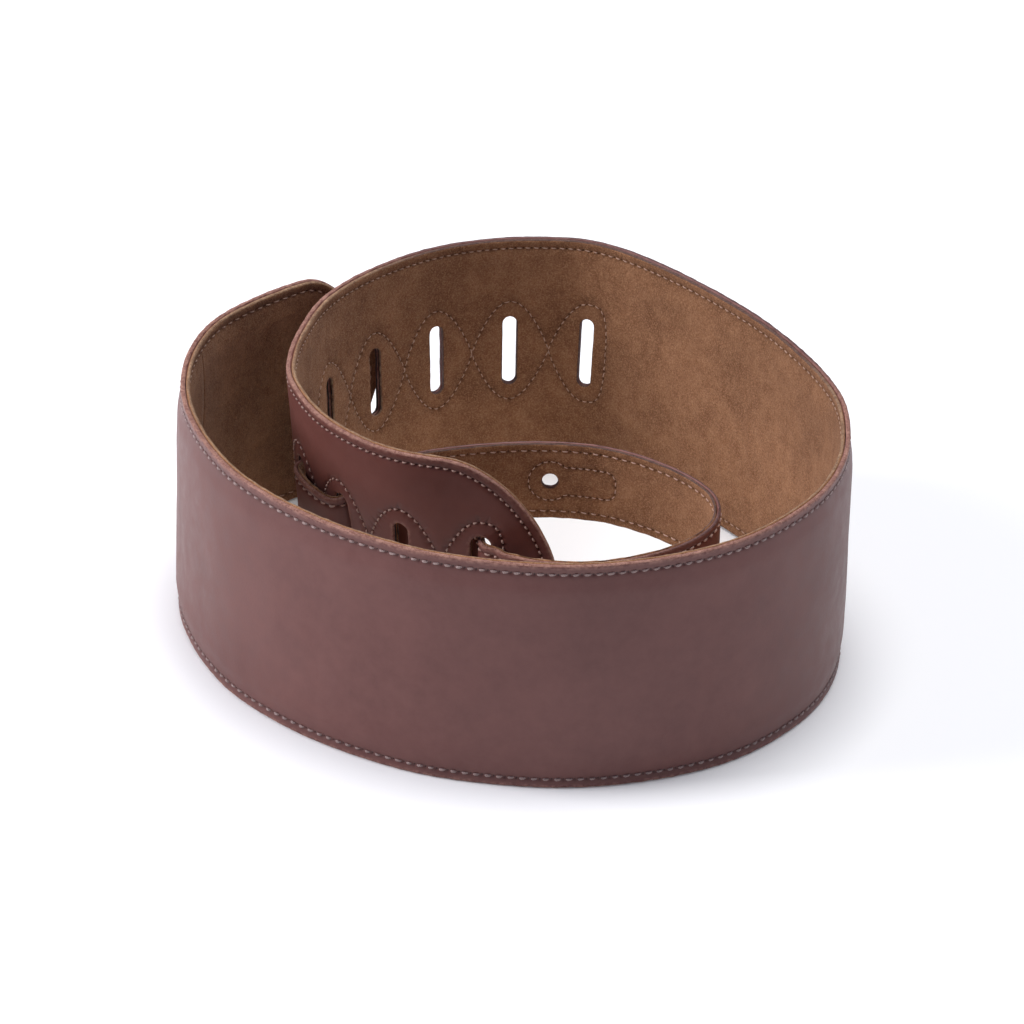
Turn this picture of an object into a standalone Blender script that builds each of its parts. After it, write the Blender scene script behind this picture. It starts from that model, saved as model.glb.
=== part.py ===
"""Wide padded leather guitar strap, coiled up and standing on its lower edge.

The strap is two pieces. The body is a wide padded band: a smooth leather face, a foam pad and a suede
lining, sewn together round the rim, with a button hole in its outer end and a row of slots towards its
inner end. The tail is a narrow two-layer strip that weaves through four of those slots and carries the
second button hole. Every layer is first laid out flat, as distances along and across the strap, and is
then bent round the route that the strap takes on the table.

Run it with blender --background --python part.py, or from Blender's text editor. Lengths in the
constants are in millimetres, and the model is in metres with +Z up.
"""

import bisect
import math

import bpy
from mathutils import Matrix, Vector

MM = 0.001
CLEARANCE = 0.3            # gap between two pieces that touch

# Body band
BODY_WIDTH = 102.0
FACE_THICKNESS = 2.0
LINING_THICKNESS = 1.6
PAD_RISE = 0.8             # how far the foam pushes each skin out
PAD_EDGE = 6.0             # the skins lie flat this far in from the rim
PAD_SLOPE = 6.0            # and reach the full rise this much further in
OUTER_END_LENGTH = 36.0    # length of the rounded end with the button hole
INNER_END_LENGTH = 46.0    # and of the end beyond the slots
END_POWER = 1.8            # the two exponents shape the rounded end
END_ROOT = 0.68
END_STEPS = 9
TIP_FLAT = 0.5             # the outline starts this far from the very tip
LINING_INSET = 0.4         # the lining is trimmed this much short of the face leather

# Slots, counted from the inner end
SLOT_COUNT = 10
SLOT_PITCH = 33.2
FIRST_SLOT = 31.0          # from the inner tip
SLOT_LENGTH = 31.0
SLOT_WIDTH = 6.0
THREADED_WIDTH = 8.4       # a slot that the tail passes through is pushed open
THREADED_SLOTS = (0, 2, 3)

# Tail strip
TAIL_FACE_THICKNESS = 1.5
TAIL_LINING_THICKNESS = 1.2
TAIL_HALF_WOVEN = 13.8
TAIL_HALF_END = 17.5
TAIL_END_LENGTH = 20.0
TAIL_WIDEN_START = 175.0   # along the tail, where it starts to widen towards its button end
TAIL_WIDEN_LENGTH = 60.0
WEAVE_FRONT = 5.8          # how far the tail's middle runs from the body's middle plane, on the leather side
WEAVE_BEHIND = 6.9         # and on the suede side
WEAVE_BULGE = 0.5          # how much further it bows out between two slots

# Button holes
HOLE_RADIUS = 3.3
BODY_HOLE_FROM_TIP = 20.0
TAIL_HOLE_FROM_TIP = 73.0
KEYHOLE_RADIUS = 9.0
KEYHOLE_NECK_HALF = 6.5
KEYHOLE_NECK_END = 28.0
SEAT_NEAR = 5.0            # a clear patch of leather by each button hole, from this far
SEAT_FAR = 14.0            # to this far from the hole's middle
SEAT_HALF = 5.4
SEAT_LIFT = 0.15           # how far that patch stands above the leather round it

# Thread
THREAD_HALF = 0.45
THREAD_RISE = 0.6
THREAD_CLEAR = 0.5         # the skins are faceted, so the threads stand a little clear of them
BODY_SEAM_INSET = 4.0
TAIL_SEAM_INSET = 3.4
SLOT_SEAM_MARGIN = 7.0     # the slot seam bows this far past each end of a slot

# Bends
BEND_STEP = math.radians(9.0)      # turn between two bend lines
TWIST_STEP = math.radians(0.9)     # change of lean between two bend lines
LONGEST_STEP = 24.0
SAMPLE_STEP = 1.0

# Flex lines: the strap's free ends bend here
OUTER_FLEX = 74.0          # along the body from its outer tip
OUTER_FLEX_GAP = 2.4
TAIL_FLEX_FROM_TIP = 118.0
TAIL_FLEX_GAP = 1.6

# Middle of the coil in the two routes below; it becomes the model's origin
COIL_CENTRE = (-0.2, 7.0)

# Route of the body's middle line on the table: x, y and outward lean in degrees, outer tip first
BODY_ROUTE = (
    (-58, 118, 0), (-77, 108, 0), (-95, 95, 0), (-112, 79, 0), (-125, 61, 0), (-132.5, 37, 0),
    (-134.5, 12, 0), (-131.5, -13, 0), (-122, -42, 0), (-107.5, -68, 0), (-85, -92, 0),
    (-59, -110.5, 0), (-28, -124.5, 0), (12, -130.5, 0), (44, -127, 0), (76, -115, 0), (100, -97, 0),
    (121, -69, 0), (131.5, -40, 0), (134, -11, 0), (130, 16, 1), (117.5, 45, 2), (96, 79, 3),
    (63, 115, 4), (33, 138, 4), (9, 141, 4), (-16, 137, 4), (-39, 126, 4), (-62, 105.5, 4),
    (-77, 83, 4), (-85.5, 58, 3), (-88, 38, 4), (-85, 18, 7), (-68.5, -9, 11), (-46, -34, 8),
    (-14, -45, 5), (19, -50, 3),
)

# Free part of the tail's middle line: x and y, from the slot nearest the body's inner tip to the tail's tip
TAIL_FREE_ROUTE = (
    (-2, -56.5), (14, -63), (34, -66.5), (54, -62), (71, -50), (81.5, -34), (82.5, -16), (75, -1),
    (59, 14), (38, 25), (16, 28), (-8, 25.5), (-32, 19), (-55, 10),
)

COLOURS = {
    "face_leather": ((0.165, 0.075, 0.065), 0.42),
    "suede": ((0.21, 0.105, 0.052), 0.95),
    "foam": ((0.55, 0.52, 0.46), 0.9),
    "thread": ((0.52, 0.38, 0.28), 0.7),
}


def clear_scene():
    for obj in list(bpy.data.objects):
        bpy.data.objects.remove(obj, do_unlink=True)


def smooth(x):
    x = min(max(x, 0.0), 1.0)
    return x * x * (3 - 2 * x)


def spline(points, u):
    """A Catmull-Rom curve through the points, at u from 0 to the number of spans."""
    last = len(points) - 1
    k = min(int(u), last - 1)
    t = u - k
    p0, p1, p2, p3 = (points[min(max(k + j, 0), last)] for j in (-1, 0, 1, 2))
    return [
        0.5 * (2 * b + (c - a) * t + (2 * a - 5 * b + 4 * c - d) * t * t + (3 * b - a - 3 * c + d) * t ** 3)
        for a, b, c, d in zip(p0, p1, p2, p3)
    ]


def from_centre(x, y):
    return x - COIL_CENTRE[0], y - COIL_CENTRE[1]


class Route:
    """A strap's bent middle line, cut into flat facets at its bend lines.

    The points are x, y, z and the sideways part of the direction across the strap, x and y of a unit
    vector that is nearly upright. at(s, v, n) takes a place on the flat strap, s along it, v across it and
    n out of its face side, to the place it takes on the table, in millimetres.
    """

    def __init__(self, points):
        self.points = points
        spans = len(points) - 1
        samples = [spline(points, spans * k / (spans * 12)) for k in range(spans * 12 + 1)]
        self.samples = [tuple(sample) for sample in samples]
        self.lengths = [0.0]
        for a, b in zip(self.samples, self.samples[1:]):
            self.lengths.append(self.lengths[-1] + math.dist(a[:3], b[:3]))
        self.length = self.lengths[-1]
        self.bends = self.bend_lines()
        self.frames = [self.smooth_frame(s) for s in self.bends]

    def sample(self, s):
        s = min(max(s, 0.0), self.length)
        k = min(max(bisect.bisect_right(self.lengths, s) - 1, 0), len(self.samples) - 2)
        a, b = self.samples[k], self.samples[k + 1]
        t = (s - self.lengths[k]) / (self.lengths[k + 1] - self.lengths[k])
        return [x + (y - x) * t for x, y in zip(a, b)]

    def heading(self, s):
        a, b = self.sample(s - SAMPLE_STEP), self.sample(s + SAMPLE_STEP)
        return Vector((b[0] - a[0], b[1] - a[1])).normalized()

    def across(self, s):
        tilt_x, tilt_y = self.sample(s)[3:]
        return Vector((tilt_x, tilt_y, math.sqrt(1 - tilt_x ** 2 - tilt_y ** 2)))

    def smooth_frame(self, s):
        up = self.across(s)
        out = self.heading(s).to_3d().cross(up).normalized()
        return Vector(self.sample(s)[:3]), up, out

    def bend_lines(self):
        """Places where the strap bends: the closer together, the tighter the curve."""
        lines = [0.0]
        s = SAMPLE_STEP
        while s < self.length - SAMPLE_STEP:
            turn = self.heading(lines[-1]).angle(self.heading(s))
            twist = self.across(lines[-1]).angle(self.across(s))
            if turn > BEND_STEP or twist > TWIST_STEP or s - lines[-1] > LONGEST_STEP:
                lines.append(s)
            s += SAMPLE_STEP
        lines.append(self.length)
        return lines

    def keep_flat(self, low, high):
        """Makes one flat facet of the stretch from low to high."""
        self.bends = sorted([s for s in self.bends if not low - 2 < s < high + 2] + [low, high])
        self.frames = [self.smooth_frame(s) for s in self.bends]

    def frame(self, s):
        k = min(max(bisect.bisect_right(self.bends, s) - 1, 0), len(self.bends) - 2)
        t = (s - self.bends[k]) / (self.bends[k + 1] - self.bends[k])
        a, b = self.frames[k], self.frames[k + 1]
        return [p.lerp(q, t) for p, q in zip(a, b)]

    def at(self, s, v, n):
        place, up, out = self.frame(s)
        return place + up * v + out * n

    def cuts(self, start, end, extra=()):
        """The bend lines between start and end, with both ends and any extra cuts."""
        marks = [start, end] + [s for s in list(self.bends) + list(extra) if start < s < end]
        marks.sort()
        kept = [marks[0]]
        for s in marks[1:]:
            if s - kept[-1] > 0.05:
                kept.append(s)
        kept[-1] = end
        return kept


def body_route():
    """The band stands on its lower edge, so a leaning stretch has its middle lower."""
    thickest = FACE_THICKNESS + PAD_RISE
    last = len(BODY_ROUTE) - 1
    points = []
    for k, (x, y, lean) in enumerate(BODY_ROUTE):
        before, after = BODY_ROUTE[max(k - 1, 0)], BODY_ROUTE[min(k + 1, last)]
        along = Vector((after[0] - before[0], after[1] - before[1])).normalized()
        tilt = math.radians(lean)
        height = BODY_WIDTH / 2 * math.cos(tilt) + thickest * math.sin(tilt)
        points.append((*from_centre(x, y), height, along.y * math.sin(tilt), -along.x * math.sin(tilt)))
    return Route(points)


def weave_points(body):
    """The tail's middle line where it passes in and out of the body's slots.

    It starts on the suede side, comes out of the fourth slot, goes back through the third, runs behind
    the second and comes out of the first.
    """
    slot = [slot_place(body, k) for k in range(SLOT_COUNT)]
    steep = 2.3
    shoulder = 8.5
    depth = 0.78
    path = [(slot[4] + 12, -WEAVE_BEHIND - 3), (slot[4], -WEAVE_BEHIND - 1.5), (slot[3] + 18, -WEAVE_BEHIND)]
    for k, before, after in ((3, -WEAVE_BEHIND, WEAVE_FRONT), (2, WEAVE_FRONT, -WEAVE_BEHIND),
                             (0, -WEAVE_BEHIND, WEAVE_FRONT)):
        path.append((slot[k] + shoulder, before))
        path.append((slot[k] + steep, before * depth))
        path.append((slot[k], 0.0))
        path.append((slot[k] - steep, after * depth))
        path.append((slot[k] - shoulder, after))
    path.append(((slot[3] + slot[2]) / 2, WEAVE_FRONT + WEAVE_BULGE))
    path += [(slot[1] + 12, -WEAVE_BEHIND), (slot[1] - 12, -WEAVE_BEHIND)]
    path.sort(key=lambda point: point[0])
    return path


def tail_route(body):
    points = []
    for s, n in weave_points(body):
        place = body.at(body.length - s, 0, n)
        tilt = body.across(body.length - s)
        points.append((*place, tilt.x, tilt.y))
    points.reverse()
    height, tilt_x, tilt_y = points[-1][2:]
    for k, (x, y) in enumerate(TAIL_FREE_ROUTE):
        ease = smooth((k + 1) / 4)
        level = height + (BODY_WIDTH / 2 - height) * ease
        points.append((*from_centre(x, y), level, tilt_x * (1 - ease), tilt_y * (1 - ease)))
    route = Route(points)
    hole = route.length - TAIL_HOLE_FROM_TIP
    route.keep_flat(hole - SEAT_FAR, hole - SEAT_NEAR)
    return route


def slot_place(body, k):
    """How far slot k is from the body's inner tip."""
    return FIRST_SLOT + SLOT_PITCH * k


def slot_width(k):
    return THREADED_WIDTH if k in THREADED_SLOTS else SLOT_WIDTH


def rounded_end(depth, half, length):
    """Half the width of an end, this deep from its tip."""
    if depth >= length:
        return half
    x = 1 - max(depth, 0.0) / length
    return half * (1 - x ** END_POWER) ** END_ROOT


def end_marks(length):
    """Depths at which a rounded end's outline has its points, closer together near the tip."""
    return [length * (k / END_STEPS) ** 1.8 for k in range(1, END_STEPS + 1)]


class Body:
    """Flat pattern of the wide band, from its outer tip at s = 0 to its inner tip."""

    def __init__(self, route):
        self.route = route
        self.length = route.length
        self.pad_from = 36.0
        self.pad_to = self.length - slot_place(self, SLOT_COUNT - 1) - 18.0

    def half(self, s, inset=0.0):
        outer = rounded_end(s - inset, BODY_WIDTH / 2 - inset, OUTER_END_LENGTH - inset)
        inner = rounded_end(self.length - s - inset, BODY_WIDTH / 2 - inset, INNER_END_LENGTH - inset)
        return min(outer, inner)

    def rise(self, s, v):
        """How far the foam lifts a skin from its flat position."""
        inward = smooth((self.half(s) - PAD_EDGE - abs(v)) / PAD_SLOPE)
        ends = smooth((s - self.pad_from) / 14) * smooth((self.pad_to - s) / 14)
        return PAD_RISE * inward * ends

    def holes(self):
        found = [(BODY_HOLE_FROM_TIP, HOLE_RADIUS, HOLE_RADIUS)]
        for k in range(SLOT_COUNT):
            found.append((self.length - slot_place(self, k), slot_width(k) / 2, SLOT_LENGTH / 2))
        return found

    def seat(self):
        return BODY_HOLE_FROM_TIP + SEAT_NEAR, BODY_HOLE_FROM_TIP + SEAT_FAR

    def marks(self):
        places = [TIP_FLAT, *self.seat()] + end_marks(OUTER_END_LENGTH)
        places += [self.length - depth for depth in [TIP_FLAT] + end_marks(INNER_END_LENGTH)]
        places += [self.pad_from, self.pad_from + 14, self.pad_to - 14, self.pad_to]
        return places + hole_marks(self.holes())


class Tail:
    """Flat pattern of the narrow strip, from its hidden tip at s = 0 to its button end."""

    def __init__(self, route):
        self.route = route
        self.length = route.length

    def half(self, s, inset=0.0):
        wide = smooth((s - TAIL_WIDEN_START) / TAIL_WIDEN_LENGTH)
        full = TAIL_HALF_WOVEN + (TAIL_HALF_END - TAIL_HALF_WOVEN) * wide
        depth = min(s, self.length - s) - inset
        return rounded_end(depth, full - inset, TAIL_END_LENGTH - inset)

    def rise(self, s, v):
        return 0.0

    def holes(self):
        return [(self.length - TAIL_HOLE_FROM_TIP, HOLE_RADIUS, HOLE_RADIUS)]

    def seat(self):
        hole = self.length - TAIL_HOLE_FROM_TIP
        return hole - SEAT_FAR, hole - SEAT_NEAR

    def marks(self):
        ends = end_marks(TAIL_END_LENGTH)
        places = [TIP_FLAT, *self.seat()] + ends
        places += [self.length - depth for depth in ends] + [self.length - TIP_FLAT]
        return places + hole_marks(self.holes())


def seat_lift(pattern, s, v):
    """How far the clear patch by the button hole stands above the leather round it."""
    seat_from, seat_to = pattern.seat()
    return SEAT_LIFT if seat_from - 0.01 <= s <= seat_to + 0.01 and abs(v) <= SEAT_HALF + 0.01 else 0.0


def hole_marks(holes):
    """Cuts at which the rounded ends of the holes have their points."""
    return [s + half * t for s, half, _ in holes for t in (-1, -0.72, 0, 0.72, 1)]


def hole_reach(hole, s):
    """Half the height of a hole at s: straight sides with round ends."""
    centre, half, reach = hole
    across = min(abs(s - centre) / half, 1.0)
    return reach - half + half * math.sqrt(1 - across * across)


def open_hole(holes, s0, s1):
    """The hole that the strip of leather between two cuts has in it, if any."""
    middle = (s0 + s1) / 2
    return next((hole for hole in holes if abs(middle - hole[0]) < hole[1]), None)


def columns(pattern, cuts, inset, holes, banded):
    """Flat polygons, column by column, between the cuts.

    Each polygon is a list of (cut number, v). A banded column is split where the foam's slope begins
    and ends, one by a button hole is split at the sides of its seat, and a column with a hole in it is
    split above and below the hole.
    """
    seat_from, seat_to = pattern.seat()

    def levels(s):
        edge = pattern.half(s) - inset
        inner = max(edge - PAD_EDGE - PAD_SLOPE, edge * 0.3)
        return [-edge, -(edge + inner) / 2, -inner, inner, (edge + inner) / 2, edge]

    open_holes = [open_hole(holes, a, b) for a, b in zip(cuts, cuts[1:])]
    is_banded = [banded(a, b) for a, b in zip(cuts, cuts[1:])]
    lines = []
    for k, s in enumerate(cuts):
        near = [j for j in (k - 1, k) if 0 <= j < len(is_banded)]
        marks = levels(s) if any(is_banded[j] for j in near) else [levels(s)[0], levels(s)[-1]]
        for hole in {open_holes[j] for j in near if open_holes[j]}:
            marks += [-hole_reach(hole, s), hole_reach(hole, s)]
        if seat_from - 0.01 <= s <= seat_to + 0.01:
            marks += [-SEAT_HALF, SEAT_HALF]
        lines.append(sorted({round(v, 4) for v in marks}))
    polygons = []
    for k, (s0, s1) in enumerate(zip(cuts, cuts[1:])):
        left, right = levels(s0), levels(s1)
        picks = range(5) if is_banded[k] else (None,)
        for band in picks:
            low = (left[band], right[band]) if band is not None else (left[0], right[0])
            high = (left[band + 1], right[band + 1]) if band is not None else (left[-1], right[-1])
            spans = [(low, high)]
            if open_holes[k] and band in (None, 2):
                reach = (hole_reach(open_holes[k], s0), hole_reach(open_holes[k], s1))
                spans = [(low, (-reach[0], -reach[1])), (reach, high)]
            for bottom, top in spans:
                near = [(k, v) for v in lines[k] if bottom[0] - 0.001 <= v <= top[0] + 0.001]
                far = [(k + 1, v) for v in lines[k + 1] if bottom[1] - 0.001 <= v <= top[1] + 0.001]
                polygons += triangle_strip(near, far)
    return polygons


def triangle_strip(near, far):
    """Triangles between two cuts, so that every layer is folded along the same diagonals."""
    triangles = []
    i = j = 0
    while i < len(near) - 1 or j < len(far) - 1:
        step_near = (i + 1) / len(near) <= (j + 1) / len(far) and i < len(near) - 1
        if step_near or j == len(far) - 1:
            triangles.append([near[i], far[j], near[i + 1]])
            i += 1
        else:
            triangles.append([near[i], far[j], far[j + 1]])
            j += 1
    return triangles


def layer_mesh(name, pattern, cuts, polygons, low, high):
    """A closed sheet between two offsets from the middle plane, low and high, functions of (s, v)."""
    keys = sorted({key for polygon in polygons for key in polygon})
    number = {key: k for k, key in enumerate(keys)}
    place = pattern.route.at
    count = len(keys)
    verts = [place(cuts[k], v, high(cuts[k], v)) * MM for k, v in keys]
    verts += [place(cuts[k], v, low(cuts[k], v)) * MM for k, v in keys]
    faces = []
    edges = {}
    for polygon in polygons:
        ring = [number[key] for key in polygon]
        faces.append(ring)
        faces.append([index + count for index in ring[::-1]])
        for a, b in zip(ring, ring[1:] + ring[:1]):
            edges[(a, b)] = True
    for a, b in edges:
        if (b, a) not in edges:
            faces.append([b, a, a + count, b + count])
    mesh = bpy.data.meshes.new(name)
    mesh.from_pydata(verts, [], faces)
    return mesh


def thread_mesh(name, pattern, path, base, side):
    """A fine three-sided thread along a flat path, standing on the skin at offset base, on one side."""
    route = pattern.route
    path = add_bend_points(route, path)
    rings = []
    for k, (s, v) in enumerate(path):
        before, after = path[max(k - 1, 0)], path[min(k + 1, len(path) - 1)]
        along = Vector((after[0] - before[0], after[1] - before[1])).normalized()
        across = Vector((-along.y, along.x)) * THREAD_HALF
        foot = base + side * THREAD_CLEAR
        ring = [
            route.at(s + across.x, v + across.y, foot),
            route.at(s - across.x, v - across.y, foot),
            route.at(s, v, foot + side * THREAD_RISE),
        ]
        rings.append([point * MM for point in ring])
    verts = [point for ring in rings for point in ring]
    last = len(verts) - 3
    faces = [[2, 1, 0], [last, last + 1, last + 2]]
    for k in range(0, last, 3):
        for j in range(3):
            a, b = k + j, k + (j + 1) % 3
            faces.append([a, b, b + 3, a + 3])
    if side > 0:
        faces = [face[::-1] for face in faces]
    mesh = bpy.data.meshes.new(name)
    mesh.from_pydata(verts, [], faces)
    return mesh


def add_bend_points(route, path):
    """The path with a point wherever it crosses a bend line, so the thread bends with the leather."""
    full = [path[0]]
    for (s0, v0), (s1, v1) in zip(path, path[1:]):
        crossed = [s for s in route.bends if min(s0, s1) + 0.8 < s < max(s0, s1) - 0.8]
        for s in sorted(crossed, reverse=s1 < s0):
            full.append((s, v0 + (v1 - v0) * (s - s0) / (s1 - s0)))
        full.append((s1, v1))
    return full


def material(kind):
    name = "strap_" + kind
    found = bpy.data.materials.get(name)
    if found:
        return found
    colour, roughness = COLOURS[kind]
    made = bpy.data.materials.new(name)
    made.use_nodes = True
    shader = made.node_tree.nodes["Principled BSDF"]
    shader.inputs["Base Color"].default_value = (*colour, 1)
    shader.inputs["Roughness"].default_value = roughness
    shader.inputs["Metallic"].default_value = 0.0
    return made


def add_object(mesh, kind, joint=None):
    """Puts a piece in the scene. A piece on a joint has its origin on the joint's axis."""
    obj = bpy.data.objects.new(mesh.name, mesh)
    mesh.materials.append(material(kind))
    if joint:
        mesh.transform(Matrix.Translation(-joint.location))
        obj.parent = joint
    bpy.context.scene.collection.objects.link(obj)
    return obj


def add_joint(name, route, s):
    joint = bpy.data.objects.new(name, None)
    joint.location = route.at(s, 0, 0) * MM
    bpy.context.scene.collection.objects.link(joint)
    return joint


def seam_round_end(pattern, near, end_length, inset, at_start):
    """A U-shaped seam: from near along one edge, round the rounded end, and back along the other edge."""
    tip = inset if at_start else pattern.length - inset
    inward = 1 if at_start else -1
    path = [tip + inward * depth for depth in [TIP_FLAT] + end_marks(end_length - inset)]
    low, high = sorted((near, path[-1]))
    between = [s for s in pattern.route.bends if low + 1 < s < high - 1]
    path += between if at_start else between[::-1]
    path.append(near)
    return [(s, pattern.half(s, inset)) for s in path[::-1]] + [(s, -pattern.half(s, inset)) for s in path]


def seam_along(pattern, start, stop, inset, sign):
    """A straight seam along one edge of a strip whose width may change."""
    marks = pattern.route.cuts(start, stop)
    return [(s, sign * pattern.half(s, inset)) for s in marks]


def slot_seam(body, sign):
    """The wavy seam that bows round one end of every slot and dips between them."""
    crest = SLOT_LENGTH / 2 + SLOT_SEAM_MARGIN
    trough = 0.8
    path = []
    first = body.length - slot_place(body, SLOT_COUNT - 1) - SLOT_PITCH / 2
    for k in range(SLOT_COUNT * 8 + 1):
        wave = (1 - math.cos(k * math.tau / 8)) / 2
        path.append((first + SLOT_PITCH * k / 8, sign * (trough + (crest - trough) * wave ** 0.75)))
    return path


def keyhole_seam(tail):
    """The seam round the tail's button hole: a circle that opens into a straight neck."""
    centre = tail.length - TAIL_HOLE_FROM_TIP
    start = math.asin(KEYHOLE_NECK_HALF / KEYHOLE_RADIUS)
    sweep = math.tau - 2 * start
    path = [(centre - KEYHOLE_NECK_END, 0.8), (centre - KEYHOLE_NECK_END, KEYHOLE_NECK_HALF)]
    for k in range(13):
        angle = start + sweep * k / 12
        place = (centre - KEYHOLE_RADIUS * math.cos(angle), KEYHOLE_RADIUS * math.sin(angle))
        path.append(place)
    path += [(centre - KEYHOLE_NECK_END, -KEYHOLE_NECK_HALF), (centre - KEYHOLE_NECK_END, -0.8)]
    return path


def body_skins(body, prefix, start, stop, joint=None):
    """The face leather and the suede lining of one stretch of the band."""
    cuts = body.route.cuts(start, stop, body.marks())
    holes = body.holes()
    half_gap = CLEARANCE / 2

    def padded(a, b):
        return a > body.pad_from - 1 and b < body.pad_to + 1

    def face_low(s, v):
        return half_gap + body.rise(s, v)

    def face_high(s, v):
        return face_low(s, v) + FACE_THICKNESS + seat_lift(body, s, v)

    def lining_high(s, v):
        return -half_gap - body.rise(s, v)

    def lining_low(s, v):
        return lining_high(s, v) - LINING_THICKNESS

    face = columns(body, cuts, 0.0, holes, padded)
    lining = columns(body, cuts, LINING_INSET, holes, padded)
    leather = layer_mesh(prefix + "face_leather", body, cuts, face, face_low, face_high)
    add_object(leather, "face_leather", joint)
    suede = layer_mesh(prefix + "suede_lining", body, cuts, lining, lining_low, lining_high)
    add_object(suede, "suede", joint)


def foam_pad(body, name, start, stop, joint=None):
    """The foam between the skins, thinning to its edge where the skins come together."""
    cuts = body.route.cuts(start, stop, body.marks())
    core = PAD_RISE - CLEARANCE / 2
    rim = PAD_RISE / 2 - CLEARANCE / 2
    polygons = []
    edges = [body.half(s) - PAD_EDGE - PAD_SLOPE / 2 for s in cuts]
    inners = [body.half(s) - PAD_EDGE - PAD_SLOPE for s in cuts]
    for k in range(len(cuts) - 1):
        rows = [[-edges[j], -inners[j], inners[j], edges[j]] for j in (k, k + 1)]
        for row in range(3):
            near = [(k, round(rows[0][row + i], 4)) for i in (0, 1)]
            far = [(k + 1, round(rows[1][row + i], 4)) for i in (0, 1)]
            polygons += triangle_strip(near, far)

    def high(s, v):
        return core if abs(v) < body.half(s) - PAD_EDGE - PAD_SLOPE + 0.01 else rim

    def low(s, v):
        return -high(s, v)

    add_object(layer_mesh(name, body, cuts, polygons, low, high), "foam", joint)


def tail_skins(tail, prefix, start, stop, joint=None):
    cuts = tail.route.cuts(start, stop, tail.marks())
    polygons = columns(tail, cuts, 0.0, tail.holes(), lambda a, b: False)
    half_gap = CLEARANCE / 2

    def fixed(value):
        return lambda s, v: value

    def face_high(s, v):
        return half_gap + TAIL_FACE_THICKNESS + seat_lift(tail, s, v)

    face = layer_mesh(prefix + "face_leather", tail, cuts, polygons, fixed(half_gap), face_high)
    lining = layer_mesh(prefix + "suede_lining", tail, cuts, polygons,
                        fixed(-half_gap - TAIL_LINING_THICKNESS), fixed(-half_gap))
    add_object(face, "face_leather", joint)
    add_object(lining, "suede", joint)


def both_threads(name, pattern, path, tops, joint=None):
    """The same seam on both sides: needle thread on the face, bobbin thread on the suede."""
    face, lining = tops
    add_object(thread_mesh(name + "_face_thread", pattern, path, face, 1), "thread", joint)
    add_object(thread_mesh(name + "_lining_thread", pattern, path, lining, -1), "thread", joint)


def build_body(body):
    tops = (CLEARANCE / 2 + FACE_THICKNESS, -CLEARANCE / 2 - LINING_THICKNESS)
    joint = add_joint("outer_end_joint", body.route, OUTER_FLEX)
    end_stop = OUTER_FLEX - OUTER_FLEX_GAP / 2
    main_start = OUTER_FLEX + OUTER_FLEX_GAP / 2
    body_skins(body, "outer_end_", TIP_FLAT, end_stop, joint)
    body_skins(body, "body_", main_start, body.length - TIP_FLAT)
    foam_pad(body, "outer_end_foam_pad", body.pad_from + 14, end_stop - 0.5, joint)
    foam_pad(body, "body_foam_pad", main_start + 0.5, body.pad_to - 14)
    outer = seam_round_end(body, end_stop - 1, OUTER_END_LENGTH, BODY_SEAM_INSET, True)
    main = seam_round_end(body, main_start + 1, INNER_END_LENGTH, BODY_SEAM_INSET, False)
    both_threads("outer_end_rim", body, outer, tops, joint)
    both_threads("body_rim", body, main, tops)
    both_threads("slot_upper", body, slot_seam(body, 1), tops)
    both_threads("slot_lower", body, slot_seam(body, -1), tops)


def build_tail(tail):
    tops = (CLEARANCE / 2 + TAIL_FACE_THICKNESS, -CLEARANCE / 2 - TAIL_LINING_THICKNESS)
    flex = tail.length - TAIL_FLEX_FROM_TIP
    joint = add_joint("tail_end_joint", tail.route, flex)
    main_stop = flex - TAIL_FLEX_GAP / 2
    end_start = flex + TAIL_FLEX_GAP / 2
    tail_skins(tail, "tail_", TIP_FLAT, main_stop)
    tail_skins(tail, "tail_end_", end_start, tail.length - TIP_FLAT, joint)
    end = seam_round_end(tail, end_start + 1, TAIL_END_LENGTH, TAIL_SEAM_INSET, False)
    both_threads("tail_end_rim", tail, end, tops, joint)
    both_threads("keyhole", tail, keyhole_seam(tail), tops, joint)
    for name, sign in (("tail_upper", 1), ("tail_lower", -1)):
        seam = seam_along(tail, TAIL_END_LENGTH, main_stop - 1, TAIL_SEAM_INSET, sign)
        both_threads(name, tail, seam, tops)


def main():
    clear_scene()
    route = body_route()
    build_body(Body(route))
    build_tail(Tail(tail_route(route)))


main()
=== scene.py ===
"""Wide padded leather guitar strap, coiled up and standing on its edge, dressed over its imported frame.

The strap is a wide band and a narrow tail. Each is a smooth leather face and a suede lining, sewn
together with separate stitches, and the band has a foam pad between them. Every skin is cut flat first,
as distances along and across the strap, and is then bent round the route that the strap takes on the
table. Lengths are in metres unless a name says otherwise.
"""

import math

import bpy
import numpy as np
from bpy.props import FloatProperty, FloatVectorProperty, IntProperty, PointerProperty
from mathutils import Matrix, Vector
from mathutils.geometry import delaunay_2d_cdt
from mathutils.kdtree import KDTree


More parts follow.
